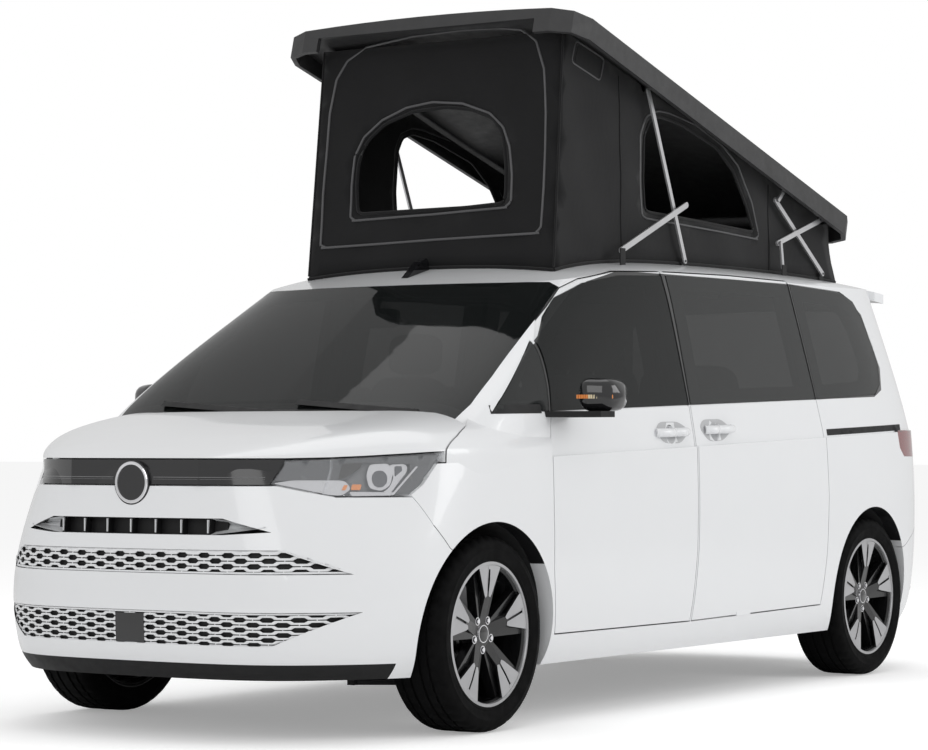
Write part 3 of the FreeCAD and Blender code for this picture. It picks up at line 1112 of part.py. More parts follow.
PARTS = {
    "body_shell": body_shell,
    "floor_pan": floor_pan,
    "bonnet": bonnet,
    "cowl": cowl,
    "front_bumper": front_bumper,
    "front_grille": front_grille,
    "front_strip": front_strip,
    "front_lip": front_lip,
    "sensor_cover": sensor_cover,
    "headlamps": headlamps,
    "tail_lamps": tail_lamps,
    "rear_bumper": rear_bumper,
    "windscreen": windscreen,
    "tailgate": tailgate,
    "tailgate_glass": tailgate_glass,
    "spoiler": spoiler,
    "door_front_left": lambda: door(FRONT_DOOR, FRONT_SIGHT, 1, -239.0),
    "door_front_right": lambda: door(FRONT_DOOR, FRONT_SIGHT, -1, -239.0),
    "door_glass_left": lambda: pane(FRONT_PANE, 1),
    "door_glass_right": lambda: pane(FRONT_PANE, -1),
    "mirror_left": lambda: mirror_housing(1),
    "mirror_right": lambda: mirror_housing(-1),
    "sliding_door_left": lambda: door(SLIDING_DOOR, SLIDING_SIGHT, 1, 126.0),
    "sliding_door_right": lambda: door(SLIDING_DOOR, SLIDING_SIGHT, -1, 126.0),
    "side_glass": lambda: Part.makeCompound([pane(o, s) for o in (SLIDING_PANE, QUARTER_PANE, CORNER_PANE)
                                             for s in (1, -1)]),
    "dashboard": dashboard,
    "steering_wheel": steering_wheel,
    "front_seats": front_seats,
    "rear_bench": rear_bench,
    "kitchen_unit": kitchen_unit,
    "roof_bed": roof_bed,
    "engine_block": engine_block,
    "tyre_front_left": lambda: tyre(FRONT_AXLE_Y, 1),
    "tyre_front_right": lambda: tyre(FRONT_AXLE_Y, -1),
    "tyre_rear_left": lambda: tyre(REAR_AXLE_Y, 1),
    "tyre_rear_right": lambda: tyre(REAR_AXLE_Y, -1),
    "rim_front_left": lambda: rim(FRONT_AXLE_Y, 1),
    "rim_front_right": lambda: rim(FRONT_AXLE_Y, -1),
    "rim_rear_left": lambda: rim(REAR_AXLE_Y, 1),
    "rim_rear_right": lambda: rim(REAR_AXLE_Y, -1),
    "knuckle_left": lambda: knuckle(1),
    "knuckle_right": lambda: knuckle(-1),
    "front_subframe": front_subframe,
    "rear_axle": rear_axle,
    "exhaust": exhaust,
    "energy_tank": energy_tank,
    "antenna_fin": antenna_fin,
    "wipers": wipers,
    "roof_lid": roof_lid,
    "tent": tent,
    "front_struts": front_struts,
    "front_braces": front_braces,
    "rear_arms_a": rear_arms_a,
    "rear_arms_b": rear_arms_b,
    "rear_links_a": rear_links_a,
    "rear_links_b": rear_links_b,
    "link_brackets": link_brackets,
}


def main():
    os.makedirs("parts", exist_ok=True)
    for name, make in PARTS.items():
        shape = make()
        shape.exportStep("parts/" + name + ".step")
        print(name, len(shape.Solids), round(shape.Volume / 1e6, 2), shape.isValid())


if __name__ == "__main__":
    main()
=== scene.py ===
"""Looks of the camper van: materials, light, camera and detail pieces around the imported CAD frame."""

import json
import math
from functools import partial

import bmesh
import bpy
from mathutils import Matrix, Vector
from mathutils.bvhtree import BVHTree
from mathutils.geometry import delaunay_2d_cdt


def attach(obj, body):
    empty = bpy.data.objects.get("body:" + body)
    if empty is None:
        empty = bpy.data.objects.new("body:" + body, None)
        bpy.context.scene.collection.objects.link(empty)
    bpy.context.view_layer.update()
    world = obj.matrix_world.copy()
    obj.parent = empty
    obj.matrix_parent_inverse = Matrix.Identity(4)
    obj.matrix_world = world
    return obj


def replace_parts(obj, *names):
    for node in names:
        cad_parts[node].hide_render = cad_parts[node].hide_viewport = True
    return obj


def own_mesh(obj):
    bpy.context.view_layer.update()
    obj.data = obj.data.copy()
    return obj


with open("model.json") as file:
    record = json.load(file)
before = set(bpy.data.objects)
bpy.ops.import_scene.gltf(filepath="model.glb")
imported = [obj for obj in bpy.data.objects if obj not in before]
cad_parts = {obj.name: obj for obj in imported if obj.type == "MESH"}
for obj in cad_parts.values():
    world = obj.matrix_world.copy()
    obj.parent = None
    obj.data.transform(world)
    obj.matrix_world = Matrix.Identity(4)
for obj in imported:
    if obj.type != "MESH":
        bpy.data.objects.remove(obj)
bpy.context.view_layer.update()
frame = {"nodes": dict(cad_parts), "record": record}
NODES = frame["nodes"]
SIDES = ((1, "left"), (-1, "right"))

# Frame values, the same as in the part's source, in metres
FRONT_AXLE_Y = -1.535
REAR_AXLE_Y = 1.589
WHEEL_X = 0.806
WHEEL_Z = 0.346
TYRE_HALF = 0.116
LID_TILT = math.radians(15.04)
LID_FRONT = (-0.587, 2.692)
LID_DEPTH = 0.03

# The photograph's view
VIEW_AZIMUTH = math.radians(32.77)
VIEW_ELEVATION = math.radians(-1.39)


# Node helpers
def new_material(name):
    mat = bpy.data.materials.new(name)
    mat.use_nodes = True
    tree = mat.node_tree
    return mat, tree, tree.nodes["Principled BSDF"]


def node(tree, kind, **values):
    made = tree.nodes.new(kind)
    for key, value in values.items():
        setattr(made, key, value)
    return made


def put(made, values):
    for key, value in values.items():
        made.inputs[key].default_value = value


def coordinates(tree):
    return node(tree, "ShaderNodeTexCoord").outputs["Object"]


def noise(tree, scale, detail=3.0):
    made = node(tree, "ShaderNodeTexNoise")
    put(made, {"Scale": scale, "Detail": detail, "Roughness": 0.55})
    tree.links.new(coordinates(tree), made.inputs["Vector"])
    return made.outputs["Fac"]


def drift(tree, socket, scale, low, high, at=(0.3, 0.7), detail=3.0):
    """Feeds a socket with a colour that wanders between two values over the surface."""
    made = node(tree, "ShaderNodeValToRGB")
    for element, place, colour in zip(made.color_ramp.elements, at, (low, high)):
        element.position = place
        element.color = colour
    tree.links.new(noise(tree, scale, detail), made.inputs["Fac"])
    tree.links.new(made.outputs["Color"], socket)


def grey(v):
    return (v, v, v, 1.0)


def tinted(rgb, by):
    return tuple(max(0.0, c * by) for c in rgb) + (1.0,)


def bump(tree, height, strength, distance, below=None):
    """The normal of a relief, laid over another one where below is given."""
    made = node(tree, "ShaderNodeBump")
    put(made, {"Strength": strength, "Distance": distance})
    tree.links.new(height, made.inputs["Height"])
    if below is not None:
        tree.links.new(below, made.inputs["Normal"])
    return made.outputs["Normal"]


def plain(name, rgb, rough, metal=0.0, coat=0.0, grain=0.0, grain_scale=900.0, spread=0.06, spec=0.5):
    """A surface with a slight colour drift, a varied roughness and, where asked, a moulded grain."""
    mat, tree, shader = new_material(name)
    low, high = tinted(rgb, 1.0 - spread), tinted(rgb, 1.0 + spread)
    drift(tree, shader.inputs["Base Color"], 7.0, low, high, detail=4.0)
    drift(tree, shader.inputs["Roughness"], 23.0, grey(rough * 0.88), grey(min(1.0, rough * 1.12)))
    put(shader, {"Metallic": metal, "Coat Weight": coat, "Coat Roughness": 0.03, "Specular IOR Level": spec})
    if grain:
        tree.links.new(bump(tree, noise(tree, grain_scale, 2.0), grain, 0.0004), shader.inputs["Normal"])
    return mat


def calculate(tree, operation, a, b=None):
    made = node(tree, "ShaderNodeMath", operation=operation)
    for i, value in enumerate((a, b)):
        if isinstance(value, (int, float)):
            made.inputs[i].default_value = value
        elif value is not None:
            tree.links.new(value, made.inputs[i])
    return made.outputs[0]


def within(tree, first, second, outline):
    """1 inside the convex outline, whose inside lies to the right of its sides, else 0."""
    calc = partial(calculate, tree)
    inside = None
    for (ax, az), (bx, bz) in zip(outline, outline[1:] + outline[:1]):
        nx, nz = -(bz - az), bx - ax
        value = calc("ADD", calc("MULTIPLY", first, nx), calc("MULTIPLY", second, nz))
        test = calc("LESS_THAN", value, ax * nx + az * nz)
        inside = test if inside is None else calc("MULTIPLY", inside, test)
    return inside


def split(tree, vector):
    made = node(tree, "ShaderNodeSeparateXYZ")
    tree.links.new(vector, made.inputs[0])
    return made.outputs


# Outlines of the panes: the side glass (y, z) and the windscreen (x, z), mirrored about the centre
SIDE_GLASS = [
    (-1.438, 1.123), (-1.202, 1.297), (-1.029, 1.397), (-0.771, 1.567), (-0.572, 1.639), (-0.36, 1.69),
    (1.04, 1.704), (1.6, 1.684), (1.76, 1.6), (1.845, 1.36), (1.8, 1.26), (1.7, 1.228),
]
SCREEN_LEFT = [(-0.768, 1.1), (-0.782, 1.155), (-0.773, 1.255), (-0.747, 1.396), (-0.72, 1.53),
               (-0.698, 1.612), (-0.658, 1.63)]
SCREEN = SCREEN_LEFT + [(-x, z) for x, z in reversed(SCREEN_LEFT)]
SCREEN_FRONT_Y = -1.5
SCREEN_REAR_Y = -0.6
PANE_X = 0.6
SILL_Z = 0.4


def body_paint(name):
    """White lacquer outside, dark lining inside, and black where a pane lies over it."""
    mat, tree, shader = new_material(name)
    calc = partial(calculate, tree)
    x, y, z = split(tree, coordinates(tree))
    side = within(tree, y, z, SIDE_GLASS)
    side = calc("MULTIPLY", side, calc("GREATER_THAN", calc("ABSOLUTE", x), PANE_X))
    band = calc("MULTIPLY", calc("LESS_THAN", y, SCREEN_REAR_Y), calc("GREATER_THAN", y, SCREEN_FRONT_Y))
    screen = calc("MULTIPLY", within(tree, x, z, SCREEN), band)
    geometry = node(tree, "ShaderNodeNewGeometry")
    normal = node(tree, "ShaderNodeVectorTransform", vector_type="NORMAL", convert_from="WORLD",
                  convert_to="OBJECT")
    tree.links.new(geometry.outputs["Normal"], normal.inputs[0])
    facing = split(tree, normal.outputs[0])
    inward = calc("LESS_THAN", calc("MULTIPLY", facing[0], calc("SIGN", x)), -0.25)
    under = calc("MULTIPLY", calc("LESS_THAN", facing[2], -0.6), calc("GREATER_THAN", z, SILL_Z))
    black = calc("MAXIMUM", calc("MAXIMUM", side, screen), calc("MAXIMUM", inward, under))
    mix = node(tree, "ShaderNodeMix", data_type="RGBA")
    tree.links.new(black, mix.inputs[0])
    drift(tree, mix.inputs[6], 3.0, (0.812, 0.822, 0.836, 1), (0.82, 0.83, 0.843, 1), (0.35, 0.65))
    mix.inputs[7].default_value = (0.012, 0.012, 0.013, 1)
    tree.links.new(mix.outputs[2], shader.inputs["Base Color"])
    drift(tree, shader.inputs["Roughness"], 9.0, grey(0.28), grey(0.3))
    put(shader, {"Coat Weight": 0.6, "Coat Roughness": 0.04})
    return mat


def glass(name, rgb, alpha, spec=0.5):
    mat, tree, shader = new_material(name)
    drift(tree, shader.inputs["Base Color"], 2.0, tinted(rgb, 0.9), tinted(rgb, 1.1), (0.0, 1.0))
    put(shader, {"Roughness": 0.02, "Alpha": alpha, "Specular IOR Level": spec})
    mat.surface_render_method = "BLENDED"
    return mat


def cloth(name, rgb, scale=140.0):
    """Plain weave: crossed sets of yarns over soft folds, with a faint sheen."""
    mat, tree, shader = new_material(name)
    coords = coordinates(tree)
    weave = None
    for axis in ("X", "Y", "Z"):
        wave = node(tree, "ShaderNodeTexWave", wave_type="BANDS", bands_direction=axis)
        put(wave, {"Scale": scale, "Distortion": 0.6, "Detail": 1.0})
        tree.links.new(coords, wave.inputs["Vector"])
        yarns = wave.outputs["Fac"]
        weave = yarns if weave is None else calculate(tree, "ADD", weave, yarns)
    drift(tree, shader.inputs["Base Color"], 5.0, tinted(rgb, 0.86), tinted(rgb, 1.12), detail=5.0)
    put(shader, {"Roughness": 0.86, "Sheen Weight": 0.12, "Specular IOR Level": 0.25})
    folds = bump(tree, noise(tree, 4.0), 0.35, 0.006)
    tree.links.new(bump(tree, weave, 0.35, 0.0003, folds), shader.inputs["Normal"])
    return mat


PAINT = body_paint("paint_white")
TRIM = plain("trim_black", (0.005, 0.005, 0.0055), 0.55, grain=0.25, spec=0.35)
GLOSS = plain("gloss_black", (0.01, 0.01, 0.011), 0.08, coat=0.5)
STRIP = plain("strip_black", (0.014, 0.014, 0.015), 0.14, coat=0.4)
TINT = glass("tint_glass", (0.01, 0.0115, 0.0115), 0.74, spec=0.3)
DARK_TINT = glass("dark_glass", (0.028, 0.03, 0.03), 0.68)
LAMP = glass("lamp_clear", (0.75, 0.77, 0.8), 0.16)
RED = plain("lens_red", (0.17, 0.004, 0.006), 0.12, coat=0.6)
LID = plain("lid_black", (0.034, 0.034, 0.035), 0.55, grain=1.0, grain_scale=520.0, spread=0.12)
UNDER = plain("under_coat", (0.02, 0.02, 0.021), 0.85, grain=0.5, grain_scale=300.0)
CAST = plain("cast_metal", (0.1, 0.1, 0.105), 0.6, metal=0.7, grain=0.5, grain_scale=400.0)
STEEL = plain("link_steel", (0.62, 0.62, 0.63), 0.34, metal=0.75)
DASH = plain("dash_grained", (0.03, 0.03, 0.032), 0.62, grain=0.6, grain_scale=700.0)
WOOD = plain("cabinet_laminate", (0.12, 0.116, 0.108), 0.45, grain=0.15)
TENT = cloth("tent_canvas", (0.0085, 0.0085, 0.0092))
INNER = cloth("tent_inside", (0.006, 0.006, 0.0065))
SEAT = cloth("seat_weave", (0.034, 0.034, 0.038), 90.0)
PIPING = plain("piping_grey", (0.085, 0.085, 0.088), 0.5, grain=0.3)
RUBBER = plain("tyre_rubber", (0.003, 0.003, 0.0032), 0.78, grain=0.5, grain_scale=500.0, spread=0.2,
               spec=0.1)
ALLOY_FACE = plain("alloy_machined", (0.46, 0.46, 0.47), 0.36, metal=0.6)
ALLOY_BLACK = plain("alloy_black", (0.006, 0.006, 0.0065), 0.2, coat=0.25)
CHROME = plain("bright_chrome", (0.78, 0.78, 0.8), 0.1, metal=1.0)
AMBER = plain("amber_lens", (0.75, 0.26, 0.06), 0.2, coat=0.5)
WHITE_TRIM = plain("mesh_white", (0.8, 0.81, 0.825), 0.28, coat=0.5, spread=0.01)
DISC = plain("brake_disc", (0.3, 0.3, 0.31), 0.35, metal=0.9)
# Painted shade: the slot's white paint made darker, standing for the shade inside the recess
SCOOP_PAINTED_SHADE = plain("scoop_white_painted_shade", (0.62, 0.63, 0.64), 0.32, coat=0.4, spread=0.01)
LINE_GREY = plain("line_grey", (0.16, 0.16, 0.165), 0.3, coat=0.3)
LAMP_TINT = plain("lamp_tint", (0.085, 0.087, 0.09), 0.25, coat=0.3)
LAMP_BACK = plain("lamp_back", (0.2, 0.205, 0.21), 0.3, metal=0.4)
LAMP_BROWN = plain("lamp_brown", (0.03, 0.028, 0.024), 0.25)
LAMP_PUPIL = plain("lamp_pupil", (0.075, 0.078, 0.085), 0.12, coat=0.6)
PALE = plain("indicator_pale", (0.72, 0.62, 0.42), 0.25, coat=0.4)
PAINT_PLAIN = plain("paint_handles", (0.8, 0.81, 0.825), 0.28, coat=0.5, spread=0.01)
# Painted shade: a darker white on the flat handle-cup plates, in place of the cups' real depth
CUP_PAINTED_SHADE = plain("cup_shade", (0.5, 0.505, 0.515), 0.32, coat=0.4, spread=0.02)
PLATE_WHITE = plain("blank_plate", (0.7, 0.7, 0.69), 0.4, spread=0.02)

BY_SLOT = {
    "white_paint": PAINT, "under_coat": UNDER, "black_plastic": TRIM, "black_gloss": GLOSS,
    "lamp_glass": LAMP, "red_lens": RED, "tinted_glass": TINT, "dash_plastic": DASH,
    "seat_fabric": SEAT, "cabinet": WOOD, "cast_metal": CAST, "tyre": RUBBER, "alloy": ALLOY_FACE,
    "steel": STEEL, "lid_shell": LID, "tent_cloth": TENT,
}
for row in frame["record"]["subparts"]:
    piece = NODES[row["node"]]
    piece.data.materials.clear()
    piece.data.materials.append(BY_SLOT[row["material_slot"]])
for name in ("side_glass", "tailgate_glass"):
    NODES[name].data.materials[0] = DARK_TINT
NODES["front_strip"].data.materials[0] = STRIP


# Mesh helpers
def mesh_piece(name, points, faces, material, angle=35.0, body="root"):
    """A mesh on a body, smooth up to the angle in degrees, or flat where the angle is 0."""
    mesh = bpy.data.meshes.new(name)
    mesh.from_pydata([tuple(p) for p in points], [], faces)
    mesh.validate()
    made = bpy.data.objects.new(name, mesh)
    bpy.context.scene.collection.objects.link(made)
    for one in material if isinstance(material, list) else [material]:
        mesh.materials.append(one)
    if angle:
        mesh.shade_smooth()
        mesh.set_sharp_from_angle(angle=math.radians(angle))
    if body:
        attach(made, body)
    return made


def thick(piece, thickness, offset=-1.0, inner=0):
    """Gives a sheet its thickness; inner is the step from its outer material to its inner one."""
    solid = piece.modifiers.new("thickness", "SOLIDIFY")
    solid.thickness, solid.offset, solid.material_offset = thickness, offset, inner
    graph = bpy.context.evaluated_depsgraph_get()
    mesh = bpy.data.meshes.new_from_object(piece.evaluated_get(graph))
    piece.modifiers.clear()
    piece.data = mesh


def angles(count):
    return [2 * math.pi * k / count for k in range(count)]


def spread_out(low, high, count):
    return [low + (high - low) * i / count for i in range(count + 1)]


def rectangle(half, low, high):
    return [(-half, low), (half, low), (half, high), (-half, high)]


def mirrored(outline, side):
    """The outline on one side of the centre line, run the same way round on both."""
    line = [(side * a, b) for a, b in outline]
    return line if side > 0 else line[::-1]


def faced(faces, side):
    """The faces, turned over on the right side, where the points are mirrored."""
    return faces if side > 0 else [tuple(reversed(f)) for f in faces]


def grid_faces(rows, columns, round_rows=False, round_columns=False):
    """Quads over a grid of points given row by row; a round direction joins its end to its start."""
    faces = []
    for i in range(rows if round_rows else rows - 1):
        j = (i + 1) % rows
        for k in range(columns if round_columns else columns - 1):
            m = (k + 1) % columns
            faces.append((i * columns + k, i * columns + m, j * columns + m, j * columns + k))
    return faces


def other_way(quads):
    """The quads turned over, each with its first corner kept."""
    return [(a, d, c, b) for a, b, c, d in quads]


class Parts:
    """Gathers points and faces of one piece; a face's kind is the number of its material."""

    def __init__(self):
        self.points, self.faces, self.kinds = [], [], []

    def add(self, points, faces, kind=0):
        start = len(self.points)
        self.points += [Vector(p) for p in points]
        self.faces += [tuple(start + i for i in f) for f in faces]
        self.kinds += [kind] * len(faces)

    def prism(self, outline, lower, upper, kind=0, top_kind=None):
        """A closed prism from an outline: lower and upper turn an outline point into a place."""
        n = len(outline)
        top = [upper(p) for p in outline]
        faces = grid_faces(2, n, False, True) + [tuple(reversed(range(n)))]
        self.add([lower(p) for p in outline] + top, faces, kind)
        self.add(top, [tuple(range(n))], kind if top_kind is None else top_kind)

    def block(self, outline, low, high, kind=0):
        """A prism between two heights."""
        self.prism(outline, lambda p: (*p, low), lambda p: (*p, high), kind)

    def tube(self, line, radius, sides=8, closed=False, kind=0):
        """A tube along a line of points."""
        count = len(line)
        points = []
        for i, p in enumerate(line):
            before = line[i - 1] if i or closed else p
            after = line[(i + 1) % count] if i < count - 1 or closed else p
            way = (Vector(after) - Vector(before)).normalized()
            up = Vector((0, 0, 1)) if abs(way.z) < 0.9 else Vector((1, 0, 0))
            across = way.cross(up).normalized()
            up = across.cross(way)
            points += [Vector(p) + across * math.cos(a) * radius + up * math.sin(a) * radius
                       for a in angles(sides)]
        faces = grid_faces(count, sides, closed, True)
        if not closed:
            faces += [tuple(reversed(range(sides))), tuple((count - 1) * sides + k for k in range(sides))]
        self.add(points, faces, kind)

    def ring(self, outline, place, radius):
        """A closed tube along an outline, whose points place turns into places."""
        self.tube([place(p) for p in outline], radius, closed=True)

    def piece(self, name, material, slot, angle=35.0, body="root"):
        made = mesh_piece(name, self.points, self.faces, material, angle, body)
        for polygon, kind in zip(made.data.polygons, self.kinds):
            polygon.material_index = kind
        return made


def smooth_line(points, steps=2):
    """Closed Catmull-Rom line through the points."""
    count = len(points)
    line = []
    for i in range(count):
        around = [points[(i + k) % count] for k in (-1, 0, 1, 2)]
        for t in [s / steps for s in range(steps)]:
            line.append(tuple(0.5 * (2 * b + (c - a) * t + (2 * a - 5 * b + 4 * c - d) * t * t
                                     + (3 * b - a - 3 * c + d) * t ** 3) for a, b, c, d in zip(*around)))
    return line


def rounded_line(points, cut, steps=4):
    """A closed outline with its corners rounded off."""
    line = []
    for i, p in enumerate(points):
        a, b = Vector(points[i - 1]), Vector(points[(i + 1) % len(points)])
        p = Vector(p)
        start = p + (a - p).normalized() * min(cut, (a - p).length * 0.45)
        end = p + (b - p).normalized() * min(cut, (b - p).length * 0.45)
        for t in [s / steps for s in range(steps + 1)]:
            line.append(tuple(start * (1 - t) ** 2 + p * 2 * t * (1 - t) + end * t * t))
    return line


def dense(points, step):
    """A closed outline with its long sides divided."""
    line = []
    for a, b in zip(points, points[1:] + points[:1]):
        count = max(1, int(math.hypot(b[0] - a[0], b[1] - a[1]) / step))
        line += [(a[0] + (b[0] - a[0]) * i / count, a[1] + (b[1] - a[1]) * i / count) for i in range(count)]
    return line


def tree_of(*names):
    """A search tree of CAD nodes in the row frame."""
    made = bmesh.new()
    for name in names:
        made.from_mesh(NODES[name].data)
    tree = BVHTree.FromBMesh(made)
    made.free()
    return tree


def cast(tree, start, way, near, stand=0.0):
    """Where a ray meets a surface, or else its place nearest to near, raised along the normal by stand."""
    hit, normal, *_ = tree.ray_cast(Vector(start), Vector(way))
    if hit is None:
        hit, normal, *_ = tree.find_nearest(Vector(near))
    if normal.dot(Vector(way)) > 0:
        normal = -normal
    return hit + normal * stand


def front_spot(tree, x, z, stand=0.0):
    return cast(tree, (x, -3.2, z), (0, 1, 0), (x, -2.35, z), stand)


def side_spot(tree, y, z, side, stand):
    return cast(tree, (side * 1.6, y, z), (-side, 0, 0), (side * 0.95, y, z), stand)


def rear_spot(tree, x, z, stand):
    return cast(tree, (x, 3.2, z), (0, -1, 0), (x, 2.4, z), stand)


def inside_outline(p, outline):
    x, y = p
    result = False
    for (ax, ay), (bx, by) in zip(outline, outline[1:] + outline[:1]):
        if (ay > y) != (by > y) and x < (bx - ax) * (y - ay) / (by - ay) + ax:
            result = not result
    return result


def sheet_faces(outline, holes, step):
    """Triangles over an outline with holes, with points spread inside it."""
    points, edges = [], []
    for line in [outline] + holes:
        start = len(points)
        points += [Vector(p) for p in line]
        edges += [(start + i, start + (i + 1) % len(line)) for i in range(len(line))]

    def covered(q):
        return inside_outline(q, outline) and not any(inside_outline(q, h) for h in holes)

    rim = list(points)
    xs, ys = [p[0] for p in outline], [p[1] for p in outline]
    for i in range(int((max(xs) - min(xs)) / step) + 1):
        for j in range(int((max(ys) - min(ys)) / step) + 1):
            q = (min(xs) + (i + 0.5 + 0.5 * (j % 2)) * step, min(ys) + (j + 0.5) * step)
            if covered(q) and min((Vector(q) - r).length for r in rim) > step * 0.55:
                points.append(Vector(q))
    verts, _, faces, *_ = delaunay_2d_cdt(points, edges, [], 0, 1e-6)
    return verts, [tuple(f) for f in faces if covered(sum((verts[i] for i in f), Vector((0, 0))) / len(f))]


def filled(outline, step):
    return sheet_faces(dense(outline, step), [], step)


# Tent
ROOF = tree_of("body_shell", "roof_bed")
ROOF_Z = 1.7
TENT_FRONT_HALF = 0.583
TENT_HALF = 0.62
TENT_FRONT_Y = -0.563
TENT_REAR_Y = 1.8
TENT_TOP_Z = 2.629
TENT_FOOT_Z = 1.72
TENT_STEP = 0.055
TENT_HEIGHTS = (1.85, 2.0, 2.2, 2.4, 2.56)
REAR_HEIGHTS = (1.8, 1.84, 1.88, 1.92, 1.96)
SEAM_STEPS = 14
EDGE_FADE = 0.12


def lid_under(y):
    """Height of the lid's inner face above a place on the length."""
    return LID_FRONT[1] - (y - LID_FRONT[0]) * math.tan(LID_TILT) - LID_DEPTH / math.cos(LID_TILT)


def front_y(z):
    return TENT_FRONT_Y + 0.1 * (z - ROOF_Z)


def rear_y(z):
    share = (z - 1.77) / 0.24
    return 1.868 - 0.118 * share * (1.6 - share) if share < 1.2 else TENT_REAR_Y


def side_x(y, z):
    """Half the tent's width: it narrows towards the front and a little towards the top."""
    spread = min(1.0, max(0.0, (y - TENT_FRONT_Y) / 0.963))
    return TENT_FRONT_HALF + (TENT_HALF - TENT_FRONT_HALF) * spread - 0.012 * (z - ROOF_Z)


# Outlines on the tent: (y, z) on its sides, (x, z) on its front
SIDE_WINDOW = [
    (0.084, 1.941), (0.076, 2.103), (0.085, 2.274), (0.129, 2.349), (0.223, 2.381), (0.317, 2.38),
    (0.534, 2.353), (0.777, 2.286), (0.912, 2.209), (1.028, 2.058), (1.101, 1.922), (1.066, 1.906),
    (0.436, 1.925), (0.116, 1.932),
]
SIDE_HOLE = [
    (0.107, 1.967), (0.098, 2.103), (0.109, 2.266), (0.152, 2.332), (0.229, 2.358), (0.405, 2.342),
    (0.72, 2.273), (0.869, 2.183), (0.966, 2.055), (1.047, 1.941), (1.027, 1.935), (0.436, 1.952),
    (0.144, 1.959),
]
FRONT_PANEL = [
    (-0.532, 1.826), (-0.534, 2.03), (-0.531, 2.206), (-0.524, 2.37), (-0.503, 2.508), (-0.455, 2.583),
    (-0.362, 2.633), (-0.135, 2.66), (0.1, 2.667), (0.278, 2.662), (0.375, 2.648), (0.449, 2.598),
    (0.491, 2.485), (0.511, 2.306), (0.521, 2.016), (0.515, 1.857), (0.49, 1.835), (0.017, 1.827),
    (-0.503, 1.815),
]
FRONT_ARCH = [
    (-0.396, 1.935), (-0.397, 2.061), (-0.387, 2.184), (-0.348, 2.262), (-0.267, 2.327), (-0.15, 2.37),
    (-0.02, 2.384), (0.124, 2.369), (0.253, 2.322), (0.322, 2.262), (0.356, 2.183), (0.371, 2.07),
    (0.373, 1.964), (0.345, 1.942), (0.01, 1.93), (-0.37, 1.921),
]
FRONT_HOLE = [
    (-0.364, 1.965), (-0.373, 2.07), (-0.366, 2.165), (-0.327, 2.249), (-0.25, 2.312), (-0.114, 2.352),
    (0.046, 2.359), (0.165, 2.342), (0.27, 2.301), (0.323, 2.235), (0.341, 2.12), (0.347, 1.998),
    (0.34, 1.96), (0.167, 1.95), (-0.345, 1.947),
]
VENT = [(-0.384, 2.6), (-0.185, 2.548), (-0.214, 2.458), (-0.415, 2.512)]


def wall_wave(u, v):
    """The slack of stretched canvas, in metres."""
    return (0.0035 * math.sin(u * 7.1 + 0.8 * math.sin(v * 5.0)) + 0.0022 * math.sin(u * 17.0 + v * 9.0)
            + 0.0016 * math.sin(v * 23.0 - u * 11.0))


def roof_under(x, y):
    """Height of the roof's skin below a place on the tent's foot."""
    hit = ROOF.ray_cast(Vector((x, y, 2.3)), Vector((0, 0, -1)))[0]
    return (hit.z if hit else ROOF_Z) - 0.001


def tent_foot(y):
    return roof_under(side_x(y, TENT_FOOT_Z), y)


def tent_side(walls):
    foot = [(y, tent_foot(y)) for y in [TENT_FRONT_Y + i * 0.0485 for i in range(51)]]
    rear = [(rear_y(z), z) for z in REAR_HEIGHTS]
    top = [(y, lid_under(y)) for y in [TENT_REAR_Y - i * 0.08 for i in range(29)]]
    front = [(front_y(z), z) for z in (TENT_TOP_Z,) + TENT_HEIGHTS[::-1]]
    verts, faces = sheet_faces(foot + rear + top + front, [rounded_line(SIDE_HOLE, 0.02, 3)], TENT_STEP)
    for side, _ in SIDES:
        points = []
        for y, z in verts:
            edge = min(1.0, (y - front_y(z)) / 0.15, (1.87 - y) / 0.15, (z - ROOF_Z) / EDGE_FADE,
                       (lid_under(y) - z) / EDGE_FADE)
            slack = wall_wave(y * side + 2.0, z) * max(0.0, edge)
            points.append((side * (side_x(y, z) + slack), y, z))
        walls.add(points, faced(faces, side))


def tent_front(walls):
    top = side_x(TENT_FRONT_Y, TENT_TOP_Z)
    outline = [(x, roof_under(x, TENT_FRONT_Y)) for x in spread_out(-TENT_FRONT_HALF, TENT_FRONT_HALF, 24)]
    outline += [(side_x(TENT_FRONT_Y, z), z) for z in TENT_HEIGHTS]
    outline += [(x, TENT_TOP_Z) for x in spread_out(top, -top, 24)]
    outline += [(-side_x(TENT_FRONT_Y, z), z) for z in reversed(TENT_HEIGHTS)]
    verts, faces = sheet_faces(outline, [rounded_line(FRONT_HOLE, 0.025, 3)], TENT_STEP)
    points = []
    for x, z in verts:
        edge = min(1.0, (TENT_FRONT_HALF - abs(x)) / EDGE_FADE, (z - ROOF_Z) / EDGE_FADE,
                   (TENT_TOP_Z - z) / EDGE_FADE)
        points.append((x, front_y(z) + wall_wave(x + 5.0, z) * max(0.0, edge), z))
    walls.add(points, faces)


def tent_rear(walls):
    across = spread_out(-1.0, 1.0, 24)
    heights = (1.765,) + REAR_HEIGHTS + (lid_under(TENT_REAR_Y),)
    points = []
    for z in heights:
        half = side_x(TENT_REAR_Y, z)
        points += [(a * half, rear_y(z), z if z > 1.77 else roof_under(a * half, 1.862)) for a in across]
    quads = grid_faces(len(heights), len(across))
    walls.add(points, [(b, a, d, c) for a, b, c, d in quads])


def side_place(side, stand):
    return lambda p: (side * (side_x(*p) + stand + wall_wave(p[0] * side + 2.0, p[1])), p[0], p[1])


def front_place(p):
    return (p[0], front_y(p[1]) + wall_wave(p[0] + 5.0, p[1]) - 0.001, p[1])


